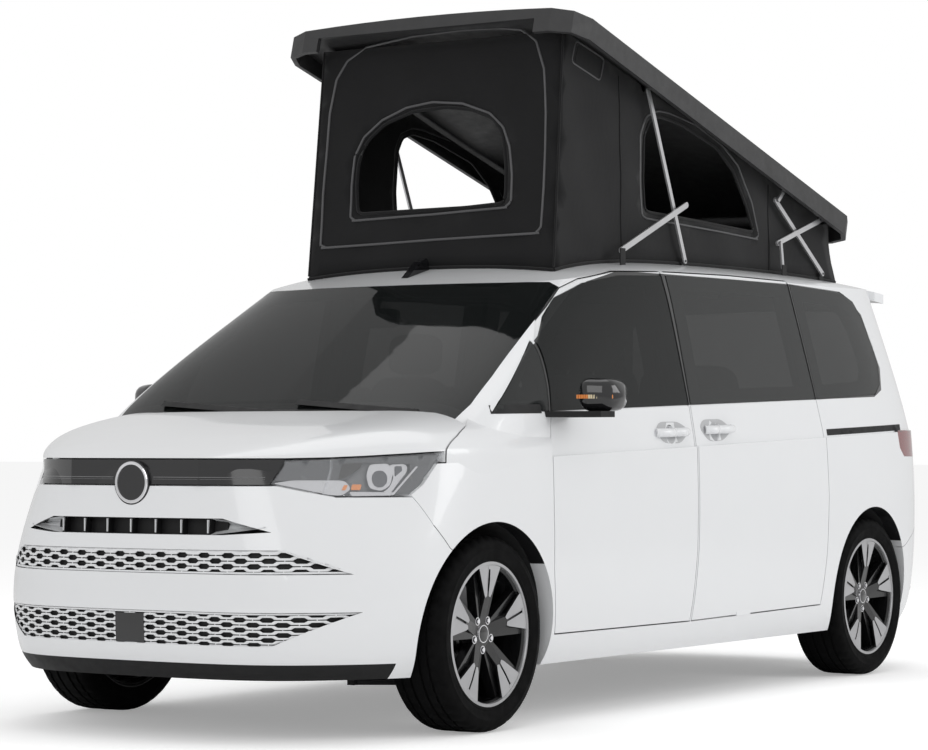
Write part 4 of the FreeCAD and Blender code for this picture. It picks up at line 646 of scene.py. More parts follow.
def build_tent():
    outer, trims, bands, vents = Parts(), Parts(), Parts(), Parts()
    tent_side(outer)
    tent_front(outer)
    tent_rear(outer)
    walls = outer.piece("tent_walls", [TENT, INNER], "tent_cloth")
    thick(walls, 0.002, inner=1)
    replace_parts(walls, "tent")
    for side, _ in SIDES:
        place = side_place(side, 0.001)
        trims.ring(smooth_line(rounded_line(SIDE_WINDOW, 0.02, 3)), place, 0.0042)
        trims.ring(rounded_line(VENT, 0.02), place, 0.0036)
        bands.ring(rounded_line(SIDE_HOLE, 0.02, 3), place, 0.006)
        for y in (-0.073, 1.199):
            heights = [TENT_FOOT_Z + i * (lid_under(y) - 1.75) / SEAM_STEPS for i in range(SEAM_STEPS + 1)]
            bands.tube([place((y, z)) for z in heights], 0.003)
        heights = [ROOF_Z + i * 0.92 / SEAM_STEPS for i in range(SEAM_STEPS + 1)]
        bands.tube([(side * side_x(TENT_FRONT_Y, z), front_y(z), z) for z in heights], 0.0048)
        bands.tube([(side * (side_x(y, TENT_FOOT_Z) + 0.002), y, tent_foot(y) + 0.007)
                    for y in [TENT_FRONT_Y + i * 0.0755 for i in range(33)]], 0.007)
    for outline in (FRONT_PANEL, FRONT_ARCH):
        trims.ring(smooth_line(rounded_line(outline, 0.012, 2)), front_place, 0.0052)
    bands.ring(rounded_line(FRONT_HOLE, 0.025, 3), front_place, 0.007)
    bands.tube([(x, TENT_FRONT_Y - 0.002, roof_under(x, TENT_FRONT_Y) + 0.007)
                for x in spread_out(-TENT_FRONT_HALF, TENT_FRONT_HALF, 24)], 0.007)
    piping = trims.piece("tent_piping", PIPING, "tent_cloth")
    seams = bands.piece("tent_seams", TENT, "tent_cloth")
    line = rounded_line([(y * 0.82 - 0.3 * 0.18, z * 0.82 + 2.53 * 0.18) for y, z in VENT], 0.015)
    for side, _ in SIDES:
        vents.prism(line[::side], side_place(side, 0.0005), side_place(side, 0.003))
    vent = vents.piece("tent_vents", INNER, "tent_cloth")
    for piece in (walls, piping, seams, vent):
        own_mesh(piece)


build_tent()


# Wheels
SPOKES = 5
FACE_X = 0.104
GROOVE_R = 0.3375
TREAD_R = 0.3355
TREAD_COUNT = 176


def lathe(parts, profile, count, kind=0, closed=True, cut=None):
    """Turns (radius, x) points about the wheel's axis; cut gives a depth to take off the radius."""
    points = []
    for i, a in enumerate(angles(count)):
        for r, x in profile:
            depth = cut(i, r, x) if cut else 0.0
            points.append((x, *polar(r - depth, a)))
    parts.add(points, other_way(grid_faces(count, len(profile), True, closed)), kind)


def polar(r, angle):
    return r * math.sin(angle), r * math.cos(angle)


def circle(radius, count, middle):
    return [(middle[0] + y, middle[1] + z) for y, z in [polar(radius, a) for a in angles(count)]]


def plate(parts, outline, back, front, kind, top_kind=None):
    """A prism along the wheel's axis; back and front are an x, or give one for a point of the outline."""
    def end(x):
        return lambda p: (x(p) if callable(x) else x, *p)
    parts.prism(outline, end(back), end(front), kind, top_kind)


def turned(points, angle):
    c, s = math.cos(angle), math.sin(angle)
    return [(y * c + z * s, -y * s + z * c) for y, z in points]


def dish(lift):
    """The wheel's dished face, raised by lift: the x for a point (y, z)."""
    return lambda p: (FACE_X - 0.02 * max(0.0, (0.215 - math.hypot(*p)) / 0.215) ** 1.2 * 1.4 - 0.004
                      + lift)


def add_spoke(parts, angle):
    # machined wedge, with a slit down its middle
    inner, outer = 0.128, 0.2455
    wedge = [(0.0042, inner + 0.006), (0.0155, inner), (0.024, inner + 0.012), (0.068, 0.231)]
    wedge += [polar(outer, t) for t in (0.285, 0.22, 0.15, 0.08)]
    wedge += [(0.0042, outer), (0.0042, 0.19)]
    for sign in (1, -1):
        plate(parts, turned(mirrored(wedge, sign), angle), dish(-0.007), dish(0.0015), 1, 0)
    plate(parts, turned(rectangle(0.0046, 0.122, 0.2435), angle), dish(-0.016), dish(-0.004), 1)
    plate(parts, turned(rectangle(0.01, 0.228, 0.2465), angle), dish(-0.006), dish(0.0014), 1, 0)
    # black arm from the hub to the wedge
    arm = [(-0.02, 0.045), (0.02, 0.045), (0.0165, 0.132), (0.02, 0.15), (-0.02, 0.15),
           (-0.0165, 0.132)]
    plate(parts, turned(arm, angle), dish(-0.04), lambda p: dish(-0.01 * (math.hypot(*p) < 0.1))(p), 1)
    # black ribs on both sides, set back
    rib = [(0.012, 0.05), (0.03, 0.048), (0.083, 0.222), (0.066, 0.23), (0.024, 0.128)]
    for sign in (1, -1):
        plate(parts, turned(mirrored(rib, sign), angle), dish(-0.05),
              lambda p: dish(-0.01)(p) - 0.006 * (math.hypot(*p) > 0.1), 1)
    # pocket floor between the ribs, deep under the wedge
    web = [(-0.02, 0.1), (0.02, 0.1), (0.055, 0.228), (-0.055, 0.228)]
    plate(parts, turned(web, angle), dish(-0.052), dish(-0.02), 1)


def add_bolt(parts, middle):
    """A bolt head in a well with a raised rim."""
    rim, well = circle(0.0145, 20, middle), circle(0.0118, 20, middle)
    low, high = FACE_X - 0.034, FACE_X - 0.0325
    rows = [(low, rim), (high, rim), (high, well), (low, well)]
    parts.add([(x, *p) for x, line in rows for p in line], grid_faces(4, 20, False, True), 3)
    plate(parts, circle(0.0085, 6, middle), FACE_X - 0.036, FACE_X - 0.0275, 3)


def on_axle(parts, name, material, side, y, tag, slot, angle, node_name):
    """Moves a piece from the wheel's own axis to its axle, mirrored on the right, in place of its node."""
    parts.points = [Vector((p.x * side + side * WHEEL_X, p.y + y, p.z + WHEEL_Z)) for p in parts.points]
    parts.faces = faced(parts.faces, side)
    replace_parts(parts.piece(name + tag, material, slot, angle, "wheel_" + tag), node_name + tag)


def build_rim(side, y, tag):
    """Two-tone wheel: black spokes and barrel, machined wedges and lip, bolts, plain cap and disc."""
    parts = Parts()
    half = TYRE_HALF
    # barrel and lip
    lathe(parts, [(0.243, half - 0.022), (0.236, half - 0.03), (0.228, 0.02), (0.226, -half + 0.02),
                  (0.238, -half + 0.012), (0.256, -half + 0.01), (0.258, -half + 0.013),
                  (0.246, -half + 0.02), (0.236, -half + 0.03), (0.238, 0.02), (0.247, half - 0.026)], 96, 1)
    lathe(parts, [(0.2445, half - 0.011), (0.26, half - 0.013), (0.2615, half - 0.019),
                  (0.25, half - 0.026), (0.243, half - 0.024), (0.2425, half - 0.015)], 120)
    for a in angles(SPOKES):
        add_spoke(parts, a)
    # hub face with the blank cap and five bolts
    hub = [polar(0.074 + 0.006 * math.cos(5 * t), t) for t in angles(60)]
    plate(parts, hub, FACE_X - 0.078, FACE_X - 0.034, 1)
    lathe(parts, [(0.0, FACE_X - 0.027), (0.02, FACE_X - 0.0272), (0.0285, FACE_X - 0.029),
                  (0.031, FACE_X - 0.034), (0.0, FACE_X - 0.036)], 40, 2, False)
    lathe(parts, [(0.0285, FACE_X - 0.0285), (0.0315, FACE_X - 0.0285), (0.033, FACE_X - 0.034),
                  (0.0285, FACE_X - 0.034)], 40, 3)
    for i in range(SPOKES):
        add_bolt(parts, polar(0.056, 2 * math.pi * (i + 0.5) / SPOKES))
    # brake disc
    lathe(parts, [(0.075, -0.012), (0.165, -0.012), (0.165, -0.04), (0.075, -0.04)], 72, 4)
    lathe(parts, [(0.0, 0.02), (0.078, 0.02), (0.084, 0.012), (0.084, -0.04), (0.0, -0.04)], 48, 1, False)
    metals = [ALLOY_FACE, ALLOY_BLACK, GLOSS, CHROME, DISC]
    on_axle(parts, "wheel_", metals, side, y, tag, "alloy", 30.0, "rim_")


def tread(i, r, x):
    """Depth of the cross cuts between the tread blocks, slanted and shallower near the middle."""
    lead = i + abs(x) / TYRE_HALF * 2.6
    if r <= TREAD_R or r == GROOVE_R or int(lead) % 4:
        return 0.0
    return 0.0058 * 0.35 if abs(x) < 0.03 else 0.0058


def build_tyre(side, y, tag):
    """Low-profile tyre with four grooves, block edges and a plain wall with raised rings."""
    parts = Parts()
    half = TYRE_HALF
    right = [(0.2455, half - 0.021), (0.252, half - 0.014), (0.26, half - 0.0095), (0.266, half - 0.0065),
             (0.268, half - 0.0075), (0.285, half - 0.003), (0.298, half - 0.0012), (0.3, half - 0.0002),
             (0.303, half - 0.0002), (0.305, half - 0.0016), (0.318, half - 0.004), (0.329, half - 0.0095),
             (0.336, half - 0.0165), (0.3405, half - 0.0235), (0.3435, half - 0.032)]
    for centre in (0.062, 0.024):
        right += [(0.3452, centre + 0.0052), (GROOVE_R, centre + 0.0036), (GROOVE_R, centre - 0.0036),
                  (0.3455, centre - 0.0052)]
    profile = right + [(0.346, 0.0)] + [(r, -x) for r, x in reversed(right)]
    profile += [(0.2435, -half + 0.024), (0.2435, half - 0.024)]
    lathe(parts, profile, TREAD_COUNT, cut=tread)
    on_axle(parts, "treaded_tyre_", RUBBER, side, y, tag, "tyre", 38.0, "tyre_")


for where, y in (("front_", FRONT_AXLE_Y), ("rear_", REAR_AXLE_Y)):
    for side, word in SIDES:
        build_rim(side, y, where + word)
        build_tyre(side, y, where + word)


# Front face
GRILLE = tree_of("front_grille")
BEAD_PITCH = 0.088
BEAD_HALF = 0.0225
BEAD_FLAT = 0.013
NECK_HALF = 0.0018
BADGE_Z = 0.882
# Rows of each mesh: height, half height of a bead, last bead in pitches, part kept (1 upper, -1 lower)
TOP_ROWS = [
    (0.637, 0.009, 6.5, 0), (0.6185, 0.0092, 7.0, 0), (0.6, 0.0092, 7.5, 0), (0.5815, 0.0092, 8.0, 1),
]
LOW_ROWS = [
    (0.44, 0.0085, 8.5, -1), (0.4233, 0.0084, 8.0, 0), (0.4066, 0.0084, 8.5, 0), (0.3899, 0.0084, 8.0, 0),
    (0.3732, 0.0084, 7.5, 0), (0.3565, 0.0084, 7.0, 0), (0.341, 0.0072, 6.5, 0),
]


def bead_outline(x, z, high, left, right, kept):
    """A long hexagon with half of each neck; left and right are the necks' lengths, 0 where none."""
    up = [(-BEAD_HALF, NECK_HALF), (-BEAD_FLAT, high), (BEAD_FLAT, high), (BEAD_HALF, NECK_HALF)]
    if left:
        up = [(-left, NECK_HALF)] + up
    if right:
        up = up + [(right, NECK_HALF)]
    down = [(px, -pz) for px, pz in reversed(up)]
    if kept > 0:
        down = [(up[-1][0], 0.0), (up[0][0], 0.0)]
    if kept < 0:
        up = [(down[-1][0], 0.0), (down[0][0], 0.0)]
    return [(x + px, z + pz) for px, pz in up + down]


def mesh_spot(x, z, middle, stand):
    """A place on the grille; past the plate's slanted edge it takes the depth of the plate just inside."""
    for k in range(10):
        start = Vector((x * (1.0 - 0.015 * k), -3.2, z + (middle - z) * 0.08 * k))
        hit, normal, *_ = GRILLE.ray_cast(start, Vector((0, 1, 0)))
        if hit is not None:
            return Vector((x, hit.y, z)) + (-normal if normal.y > 0 else normal) * stand
    return front_spot(GRILLE, x, z, stand)


def mesh_plate(name, rows, low, high, half_low, half_high):
    """White mesh in front of the grille: one sheet, with a hole for each bead."""
    outline = dense([(-half_low, low), (half_low, low), (half_high, high), (-half_high, high)], 0.02)
    holes = []
    neck = BEAD_PITCH / 2 - 0.0011
    for z, bead, last, kept in rows:
        count = int(last * 2)
        for i in range(-count, count + 1, 2):
            left, right = neck * (i > -count), neck * (i < count)
            holes.append(bead_outline(i * BEAD_PITCH / 2, z, bead, left, right, kept))
    verts, faces = sheet_faces(outline, holes, 0.022)
    points = [mesh_spot(x, z, (low + high) / 2, 0.0125) for x, z in verts]
    made = mesh_piece(name, points, faces, WHITE_TRIM)
    thick(made, 0.004, -1.0 if made.data.polygons[0].normal.y < 0 else 1.0)


def build_slot():
    """Edges of the slot's white blades, and the slot's scooped ends, both in a darker white that is painted
    shade for the recess.
    """
    slot = Parts()
    for i in range(7):
        x = -0.372 + 0.744 * (i + 0.5) / 7
        low, high = front_spot(GRILLE, x, 0.712), front_spot(GRILLE, x, 0.757)
        slot.prism(rectangle(0.0022, low.z, high.z), lambda p: (x + p[0], low.y + 0.004, p[1]),
                   lambda p: (x + p[0], low.y - 0.0035, p[1]))
    bumper = tree_of("front_bumper")
    for side, _ in SIDES:
        points = []
        for t in [i / 12 for i in range(13)]:
            x = 0.327 + 0.19 * t
            half = 0.0275 * (1.0 - t) ** 0.75 + 0.0005
            for v in [-1.0 + j / 3 for j in range(7)]:
                edge = front_spot(bumper, side * x, 0.78 if v > 0 else 0.69)
                depth = 0.052 * (1.0 - t) ** 0.6 * (1.0 - abs(v) ** 2.5) + 0.004
                points.append((side * x, edge.y + depth, 0.734 + half * v))
        slot.add(points, faced(grid_faces(13, 7), side))
    # The darker white of these pieces is painted shade in the slot's recess
    slot.piece("slot_trim", SCOOP_PAINTED_SHADE, "white_paint")


def build_strip():
    """Thin lines of the strip and the plain ring of the badge."""
    strip = tree_of("front_strip")
    line, badge = Parts(), Parts()
    for side, _ in SIDES:
        for z, size in ((0.9005, 0.0013), (0.8935, 0.0006)):
            across = [side * (0.088 + 0.4 * i / 24) for i in range(25)]
            line.tube([front_spot(strip, x, z, 0.0004) for x in across], size, 6)
    line.piece("strip_line", LINE_GREY, "black_gloss")
    face_y = min(front_spot(strip, x, BADGE_Z).y for x in (0.0, 0.03, -0.03))
    profile = [(0.0605, 0.0), (0.0615, -0.0035), (0.069, -0.0045), (0.072, -0.0025), (0.0725, 0.0)]
    points = [(r * math.sin(a), face_y + dy, BADGE_Z + r * math.cos(a))
              for a in angles(72) for r, dy in profile]
    badge.add(points, grid_faces(72, len(profile), True))
    badge.piece("badge_ring", CHROME, "black_gloss")


mesh_plate("mesh_upper", TOP_ROWS, 0.5752, 0.6548, 0.748, 0.566)
mesh_plate("mesh_lower", LOW_ROWS, 0.3352, 0.4458, 0.546, 0.77)
build_slot()
build_strip()


# Headlamps, drawn on the plane square to the view's azimuth and carried back onto the lens
LENS_GRID = 8


def lens_tree():
    """The CAD lamps, with a grid on the left from the strip's end to the lamp."""
    bumper, lamp = tree_of("front_strip", "front_bumper"), tree_of("headlamps")
    made = bmesh.new()
    made.from_mesh(NODES["headlamps"].data)
    grid = []
    for z in [0.838 + 0.126 * j / LENS_GRID for j in range(LENS_GRID + 1)]:
        near = front_spot(bumper, 0.5, z).y + 0.0005
        far = front_spot(lamp, 0.65, min(z, 0.958)).y
        grid.append([made.verts.new((0.5 + 0.15 * i / LENS_GRID, near + (far - near) * i / LENS_GRID, z))
                     for i in range(LENS_GRID + 1)])
    for low, high in zip(grid, grid[1:]):
        for i in range(LENS_GRID):
            made.faces.new((low[i], low[i + 1], high[i + 1], high[i]))
    tree = BVHTree.FromBMesh(made)
    made.free()
    return tree


LENS = lens_tree()
LENS_INNER = [(0.507, 0.878), (0.537, 0.958), (0.641, 0.962), (0.645, 0.9), (0.641, 0.8375), (0.585, 0.856)]
LAMP_ZONES = [
    ("tint", 0.012, [(-0.8, 0.889), (-0.762, 0.953), (-0.222, 0.978), (-0.252, 0.929), (-0.33, 0.842),
        (-0.398, 0.842), (-0.345, 0.905), (-0.345, 0.945), (-0.5, 0.948), (-0.52, 0.93),
        (-0.56, 0.892), (-0.715, 0.888)]),
    ("back", 0.03, [(-0.59, 0.892), (-0.56, 0.892), (-0.5, 0.948), (-0.345, 0.948), (-0.345, 0.905),
        (-0.398, 0.838), (-0.565, 0.838)]),
    ("bright", 0.01, [(-0.806, 0.88), (-0.742, 0.89), (-0.59, 0.89), (-0.562, 0.888), (-0.541, 0.86),
        (-0.574, 0.838), (-0.617, 0.841), (-0.715, 0.862)]),
    ("bright", 0.009, [(-0.572, 0.842), (-0.545, 0.851), (-0.4, 0.849), (-0.408, 0.838),
        (-0.563, 0.836)]),
    ("brown", 0.011, [(-0.574, 0.946), (-0.505, 0.95), (-0.513, 0.93), (-0.566, 0.896),
        (-0.586, 0.895)]),
    ("amber", 0.008, [(-0.574, 0.857), (-0.566, 0.874), (-0.553, 0.874), (-0.56, 0.857)]),
    ("amber", 0.008, [(-0.543, 0.857), (-0.539, 0.876), (-0.507, 0.876), (-0.511, 0.857)]),
    ("bright", 0.01, [(-0.492, 0.905), (-0.482, 0.944), (-0.417, 0.947), (-0.4, 0.921), (-0.41, 0.872),
        (-0.44, 0.853), (-0.481, 0.862)]),
    ("pupil", 0.007, [(-0.474, 0.895), (-0.466, 0.921), (-0.434, 0.924), (-0.419, 0.903), (-0.422, 0.877),
        (-0.441, 0.865), (-0.465, 0.871)]),
    ("bright", 0.012, [(-0.417, 0.943), (-0.356, 0.945), (-0.352, 0.921), (-0.38, 0.886), (-0.412, 0.842),
        (-0.44, 0.845), (-0.412, 0.866), (-0.398, 0.902)]),
    ("bright", 0.006, [(-0.323, 0.938), (-0.316, 0.936), (-0.399, 0.839), (-0.408, 0.839)]),
    ("pupil", 0.006, [(-0.395, 0.938), (-0.372, 0.938), (-0.37, 0.922), (-0.392, 0.905)]),
]


def lens_spot(s, z, depth, side):
    """The place behind the left lens at s across the view and z up; mirrored for the right lamp."""
    ahead = Vector((math.sin(VIEW_AZIMUTH), -math.cos(VIEW_AZIMUTH), 0.0))
    base = Vector((math.cos(VIEW_AZIMUTH), math.sin(VIEW_AZIMUTH), 0.0)) * s
    up = Vector((0, 0, z))
    place = cast(LENS, base + ahead * 3.4 + up, -ahead, base + ahead * 2.1 + up) - ahead * depth
    return Vector((place.x * side, place.y, place.z))


def build_lamps():
    kinds = {"tint": LAMP_TINT, "back": LAMP_BACK, "bright": CHROME, "brown": LAMP_BROWN, "amber": AMBER,
             "pupil": LAMP_PUPIL}
    parts, clear = Parts(), Parts()
    for side, _ in SIDES:
        for kind, depth, outline in LAMP_ZONES:
            round_off = 0.012 if kind in ("bright", "pupil") and len(outline) > 6 else 0.003
            verts, faces = filled(rounded_line(outline, round_off, 2), 0.02)
            spots = []
            for s, z in verts:
                ripple = 0.0022 * math.sin(s * 210.0) * math.cos(z * 260.0) if kind == "bright" else 0.0
                spots.append(lens_spot(s, z, depth + ripple, side))
            parts.add(spots, faced(faces, side), list(kinds).index(kind))
        verts, faces = filled(LENS_INNER, 0.02)
        spots = [front_spot(LENS, x, z) for x, z in verts]
        clear.add([(p.x * side, p.y, p.z) for p in spots], faced(faces, side))
    clear.piece("lamp_lens_inner", LAMP, "lamp_glass", 60.0)
    parts.piece("lamp_inside", list(kinds.values()), "lamp_glass", 60.0)


build_lamps()


# Mirrors
MIRROR_STEPS = 20


def build_mirror(side, word):
    """Rounded housing on a flat foot, with a row of small indicator cells across its front."""
    parts = Parts()
    points = []
    for i in range(13):
        t = i / 12
        swell = (1.0 - (2.0 * t - 1.0) ** 4) ** 0.5 if 0 < i < 12 else 0.12
        for a in angles(MIRROR_STEPS):
            c, s = math.cos(a), math.sin(a)
            dy = math.copysign(abs(c) ** 0.65, c) * 0.072 * swell
            dz = math.copysign(abs(s) ** 0.65, s) * 0.066 * swell * (1.0 - 0.1 * t)
            points.append((side * (0.985 + 0.14 * t), -1.02 + dy + 0.05 * t, 1.196 + dz - 0.004 * t))
    faces = grid_faces(13, MIRROR_STEPS, False, True)
    faces += [tuple(reversed(range(MIRROR_STEPS))), tuple(12 * MIRROR_STEPS + k for k in range(MIRROR_STEPS))]
    parts.add(points, faced(faces, side))
    foot = [(0.868, -1.15), (1.015, -1.105), (1.1, -1.09), (1.112, -1.01), (1.01, -0.99),
            (0.872, -0.985)]
    parts.block(mirrored(foot, side), 1.112, 1.134, 1)
    for i in range(15):
        t = i / 14
        x, y = 1.002 + 0.108 * t, -1.02 - 0.0695 + 0.05 * t + 0.014 * t ** 4
        parts.prism(rectangle(0.0034, 1.1795, 1.1935), lambda p: (side * (x + p[0]), y + 0.004, p[1]),
                    lambda p: (side * (x + p[0]), y - 0.003, p[1]), 2 if i < 5 or i > 12 else 3)
    body = "door_" + word
    made = parts.piece("mirror_shell_" + body, [GLOSS, TRIM, AMBER, PALE], "black_gloss", 50.0, body)
    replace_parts(made, "mirror_" + word)


for side, word in SIDES:
    build_mirror(side, word)


# Seats
PAD_STEPS = 22
SEAT_LEAN = math.radians(-14.0)
HEAD_LEAN = math.radians(-6.0)
CABIN_FLOOR_Z = 0.4205


def pad(parts, centre, half, power, tilt=0.0, seams=()):
    """A crowned pad: a rounded box whose sides pull in between its corners, tilted about X.

    Each seam is a sewn groove across an axis, at a place from -1 to 1 on it.
    """
    slopes = [math.tan((2 * i / PAD_STEPS - 1) * math.pi / 4) for i in range(PAD_STEPS + 1)]
    c, d = math.cos(tilt), math.sin(tilt)
    quads = other_way(grid_faces(PAD_STEPS + 1, PAD_STEPS + 1))
    for axis in range(3):
        for way in (1, -1):
            points = []
            for first in slopes:
                for second in slopes:
                    q = [0.0, 0.0, 0.0]
                    q[axis], q[(axis + 1) % 3], q[(axis + 2) % 3] = float(way), first, second
                    size = sum(abs(v) ** power for v in q) ** (1 / power)
                    q = [v / size for v in q]
                    pull = 1.0 - 0.035 * (1.0 - q[2] ** 2) * (abs(q[0]) ** 8 + abs(q[1]) ** 8)
                    groove = sum(0.03 * math.exp(-((q[a] - at) / 0.03) ** 2) for a, at in seams)
                    x, y = q[0] * half[0] * pull, q[1] * half[1] * (pull - groove)
                    z = q[2] * half[2] * (1.0 - groove)
                    points.append((centre[0] + x, centre[1] + y * c - z * d, centre[2] + y * d + z * c))
            parts.add(points, faced(quads, way))


def sew(parts, name, node_name):
    piece = parts.piece(name, SEAT, "seat_fabric", 80.0)
    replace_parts(piece, node_name)
    made = bmesh.new()
    made.from_mesh(piece.data)
    bmesh.ops.remove_doubles(made, verts=made.verts, dist=1e-5)
    made.to_mesh(piece.data)
    made.free()


def build_seats():
    pads, frames, bench, box, glassy = Parts(), Parts(), Parts(), Parts(), Parts()
    for x in (0.405, -0.405):
        pad(pads, (x, -0.42, 0.69), (0.2, 0.258, 0.072), 5.0, 0.0, ((1, 0.35), (1, -0.3)))
        pad(pads, (x, -0.15, 1.0), (0.19, 0.058, 0.3), 5.0, SEAT_LEAN,
            ((2, 0.45), (2, -0.05), (2, -0.5)))
        for side, _ in SIDES:
            pad(pads, (x + side * 0.222, -0.42, 0.7), (0.04, 0.25, 0.076), 3.2)
            pad(pads, (x + side * 0.214, -0.165, 0.99), (0.042, 0.068, 0.27), 3.2, SEAT_LEAN)
        pad(pads, (x, -0.048, 1.392), (0.128, 0.043, 0.086), 3.4, HEAD_LEAN, ((2, -0.4),))
        frames.block([(x - 0.21, -0.62), (x + 0.21, -0.62), (x + 0.21, -0.2), (x - 0.21, -0.2)],
                     CABIN_FLOOR_Z, 0.634)
        for dx in (-0.06, 0.06):
            post = ((-0.075, 1.22), (-0.058, 1.29), (-0.052, 1.37))
            frames.tube([(x + dx, y, z) for y, z in post], 0.0065, 12, kind=1)
    sew(pads, "front_seat_pads", "front_seats")
    frames.piece("front_seat_frames", [DASH, STEEL], "dash_plastic", 30.0)
    for x in (-0.44, 0.08):
        pad(bench, (x, 1.228, 0.778), (0.256, 0.264, 0.068), 5.0, 0.0, ((1, 0.0),))
        pad(bench, (x, 1.458, 1.09), (0.252, 0.056, 0.284), 5.0, 0.0, ((2, 0.3), (2, -0.3)))
    box.block([(-0.45, 1.02), (0.325, 1.02), (0.325, 1.47), (-0.45, 1.47)], CABIN_FLOOR_Z, 0.722)
    sew(bench, "rear_bench_pads", "rear_bench")
    box.piece("rear_bench_box", DASH, "dash_plastic", 30.0)
    pad(glassy, (0.0, -0.935, 1.5), (0.118, 0.016, 0.038), 5.0)
    glassy.tube([(0.0, -0.925, 1.525), (0.0, -0.9, 1.575)], 0.01, 12)
    glassy.piece("cabin_mirror", TRIM, "black_plastic", 60.0)


build_seats()


# Side and rear fittings, as (y, z) outlines on the sides and (x, z) on the tailgate
FRONT_CUP = [(-0.355, 1.068), (-0.318, 1.101), (-0.167, 1.103), (-0.08, 1.069), (-0.167, 1.018),
             (-0.3, 1.018)]
SLIDE_CUP = [(0.002, 1.079), (0.037, 1.113), (0.187, 1.117), (0.278, 1.076), (0.187, 1.03), (0.067, 1.026)]
RAIL_SLOT = [(1.14, 1.0805), (1.956, 1.108), (1.955, 1.081), (1.14, 1.0535)]
CORNER_TRIM = [(-1.44, 1.121), (-1.425, 1.152), (-1.163, 1.159), (-1.163, 1.126)]
REFLECTOR = [(2.175, 0.364), (2.227, 0.383), (2.222, 0.367), (2.182, 0.351)]


def side_plate(parts, tree, outline, side, stand, kind=0, step=0.03):
    """A thin plate that follows the side's surface, with its edge carried back to it."""
    line = dense(outline, step)
    verts, faces = sheet_faces(line, [], step)
    parts.add([side_spot(tree, y, z, side, stand) for y, z in verts], faced(faces, side), kind)
    edge = [side_spot(tree, y, z, side, height) for height in (-0.001, stand) for y, z in line]
    parts.add(edge, faced(grid_faces(2, len(line), False, True), side), kind)


def build_handle(node_name, body, name, cup, bar, side):
    """A bowed bar over a flat plate in the door, whose darker white is painted shade for the cup's depth; bar
    is its (y, y, z).
    """
    tree = tree_of(node_name)
    fit = Parts()
    # The cup is a flat plate in a darker white: painted shade instead of a recess
    side_plate(fit, tree, rounded_line(cup, 0.03, 3), side, 0.0012, 1)
    line = []
    for t in [i / 20 for i in range(21)]:
        lift = 0.03 * (1.0 - abs(2 * t - 1.0) ** 4) + 0.002
        spot = side_spot(tree, bar[0] + (bar[1] - bar[0]) * t, bar[2] + 0.006 * t, side, 0.0)
        line.append((spot.x + side * lift, spot.y, spot.z))
    fit.tube(line, 0.0175, 16)
    fit.piece(name, [PAINT_PLAIN, CUP_PAINTED_SHADE], "white_paint", 50.0, body)


def build_side(side, word):
    """Handles, rail slot, corner trim and reflector; the sliding doors have no joint and ride on the root."""
    build_handle("door_front_" + word, "door_" + word, "handle_" + word + "_front", FRONT_CUP,
                 (-0.352, -0.12, 1.058), side)
    build_handle("sliding_door_" + word, "root", "handle_" + word + "_rear", SLIDE_CUP,
                 (0.045, 0.262, 1.072), side)
    black, glow = Parts(), Parts()
    side_plate(black, tree_of("body_shell"), RAIL_SLOT, side, 0.001)
    side_plate(black, tree_of("body_shell", "side_glass", "cowl"), CORNER_TRIM, side, 0.001)
    black.piece("side_trim_" + word, TRIM, "black_plastic", 50.0)
    side_plate(glow, tree_of("rear_bumper"), REFLECTOR, side, 0.0012)
    glow.piece("side_reflector_" + word, RED, "red_lens", 50.0)


def build_rear():
    """Blank plate in its frame, handle lip and wiper."""
    spot = partial(rear_spot, tree_of("tailgate", "tailgate_glass"))
    parts = Parts()
    for kind, stand, size in ((0, 0.0012, (0.285, 0.86, 1.0)), (1, 0.003, (0.26, 0.875, 0.985))):
        verts, faces = filled(rounded_line(rectangle(*size), 0.012, 2), 0.03)
        parts.add([spot(x, z, stand) for x, z in verts], faced(faces, -1), kind)
    parts.tube([spot(x, 1.018, 0.006) for x in spread_out(-0.3, 0.3, 16)], 0.011, 12)
    parts.tube([spot(0.0, 1.2, 0.01), spot(0.14, 1.215, 0.016), spot(0.3, 1.235, 0.014)], 0.007, 10)
    parts.tube([spot(0.02 + 0.36 * i / 8, 1.222 + 0.022 * i / 8, 0.009) for i in range(9)], 0.004, 8)
    parts.piece("tailgate_fittings", [TRIM, PLATE_WHITE], "black_plastic", 50.0, "tailgate")


for side, word in SIDES:
    build_side(side, word)
build_rear()


# Stage: camera, floor and light
CAMERA_LENS = 112.54
CAMERA_SHIFT = (-0.0055, 0.0028)
CAMERA_PLACE = (6.372, -10.1595, 1.0)
FLOOR_HALF = 150.0
FLOOR_LIFT = 0.3
WORLD_LIGHT = 0.66
# Name, place, aim, size and watts of each lamp
LAMPS = [
    ("key", (9.5, 3.0, 4.5), (0.9, 0.9, 1.0), 5.0, 230.0),
    ("front", (3.0, -10.0, 5.0), (0.0, -2.0, 0.8), 5.0, 130.0),
    ("top", (-1.0, 0.5, 9.0), (0.0, 0.0, 1.0), 7.0, 130.0),
]


def aimed(name, data, place, way):
    """An object at a place that looks along a direction."""
    made = bpy.data.objects.new(name, data)
    bpy.context.scene.collection.objects.link(made)
    made.location = place
    made.rotation_mode = "QUATERNION"
    made.rotation_quaternion = way.to_track_quat("-Z", "Y")
    return made


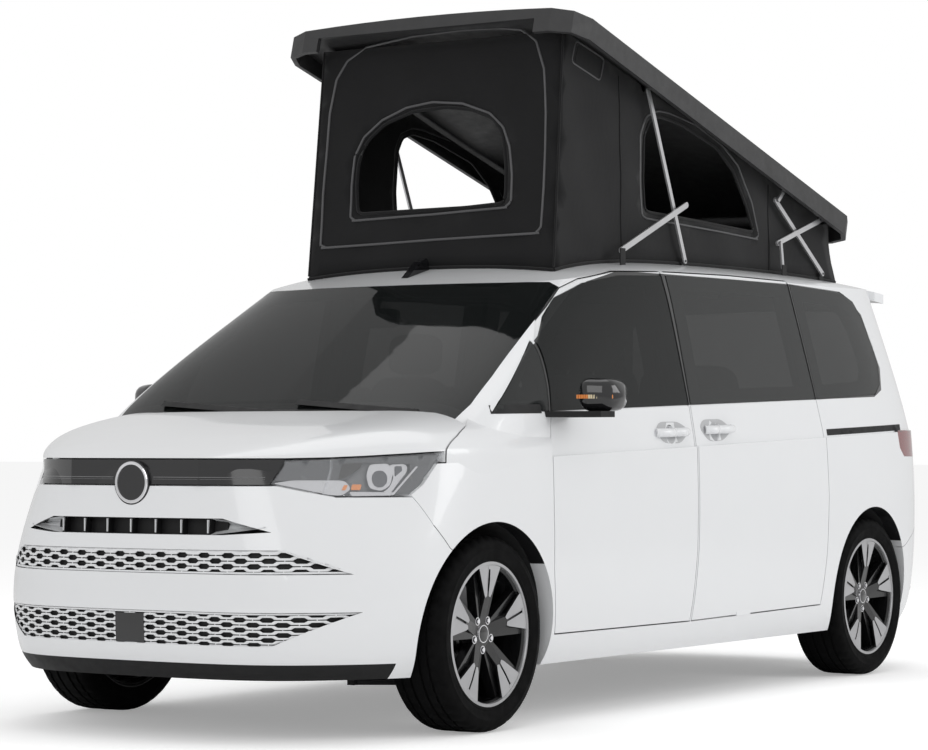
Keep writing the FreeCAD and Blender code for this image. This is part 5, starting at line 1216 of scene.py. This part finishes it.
def build_camera():
    data = bpy.data.cameras.new("camera")
    data.lens = CAMERA_LENS
    data.sensor_width = 36.0
    data.shift_x, data.shift_y = CAMERA_SHIFT
    data.clip_start, data.clip_end = 0.5, 400.0
    flat = math.cos(VIEW_ELEVATION)
    back = Vector((math.sin(VIEW_AZIMUTH) * flat, -math.cos(VIEW_AZIMUTH) * flat, math.sin(VIEW_ELEVATION)))
    bpy.context.scene.camera = aimed("camera", data, CAMERA_PLACE, -back)


def build_floor():
    """A white floor, lifted a little towards white where the camera sees it."""
    mat, tree, shader = new_material("floor_white")
    drift(tree, shader.inputs["Base Color"], 0.7, grey(0.93), grey(0.95), (0.0, 1.0))
    put(shader, {"Roughness": 0.9, "Specular IOR Level": 0.0, "Emission Color": grey(1.0)})
    path = node(tree, "ShaderNodeLightPath")
    lift = calculate(tree, "MULTIPLY", path.outputs["Is Camera Ray"], FLOOR_LIFT)
    tree.links.new(lift, shader.inputs["Emission Strength"])
    corners = [(x, y, 0) for x, y in rectangle(FLOOR_HALF, -FLOOR_HALF, FLOOR_HALF)]
    mesh_piece("floor", corners, [(0, 1, 2, 3)], mat, 0, None)


def build_world():
    """Even light, seen as plain white by the camera and through glass."""
    world = bpy.data.worlds.new("studio")
    bpy.context.scene.world = world
    world.use_nodes = True
    tree = world.node_tree
    tree.nodes.clear()
    path = node(tree, "ShaderNodeLightPath")
    either = calculate(tree, "MAXIMUM", path.outputs["Is Camera Ray"], path.outputs["Is Transmission Ray"])
    mix = node(tree, "ShaderNodeMixShader")
    tree.links.new(either, mix.inputs[0])
    for socket, strength in ((1, WORLD_LIGHT), (2, 1.0)):
        light = node(tree, "ShaderNodeBackground")
        put(light, {"Color": grey(1.0), "Strength": strength})
        tree.links.new(light.outputs[0], mix.inputs[socket])
    tree.links.new(mix.outputs[0], node(tree, "ShaderNodeOutputWorld").inputs[0])


def build_lights():
    for name, place, aim, size, power in LAMPS:
        lamp = bpy.data.lights.new(name, "AREA")
        lamp.shape = "RECTANGLE"
        lamp.size = lamp.size_y = size
        lamp.energy = power
        aimed(name, lamp, place, Vector(aim) - Vector(place))


build_camera()
build_floor()
build_world()
build_lights()
bpy.context.scene.view_settings.view_transform = "Standard"
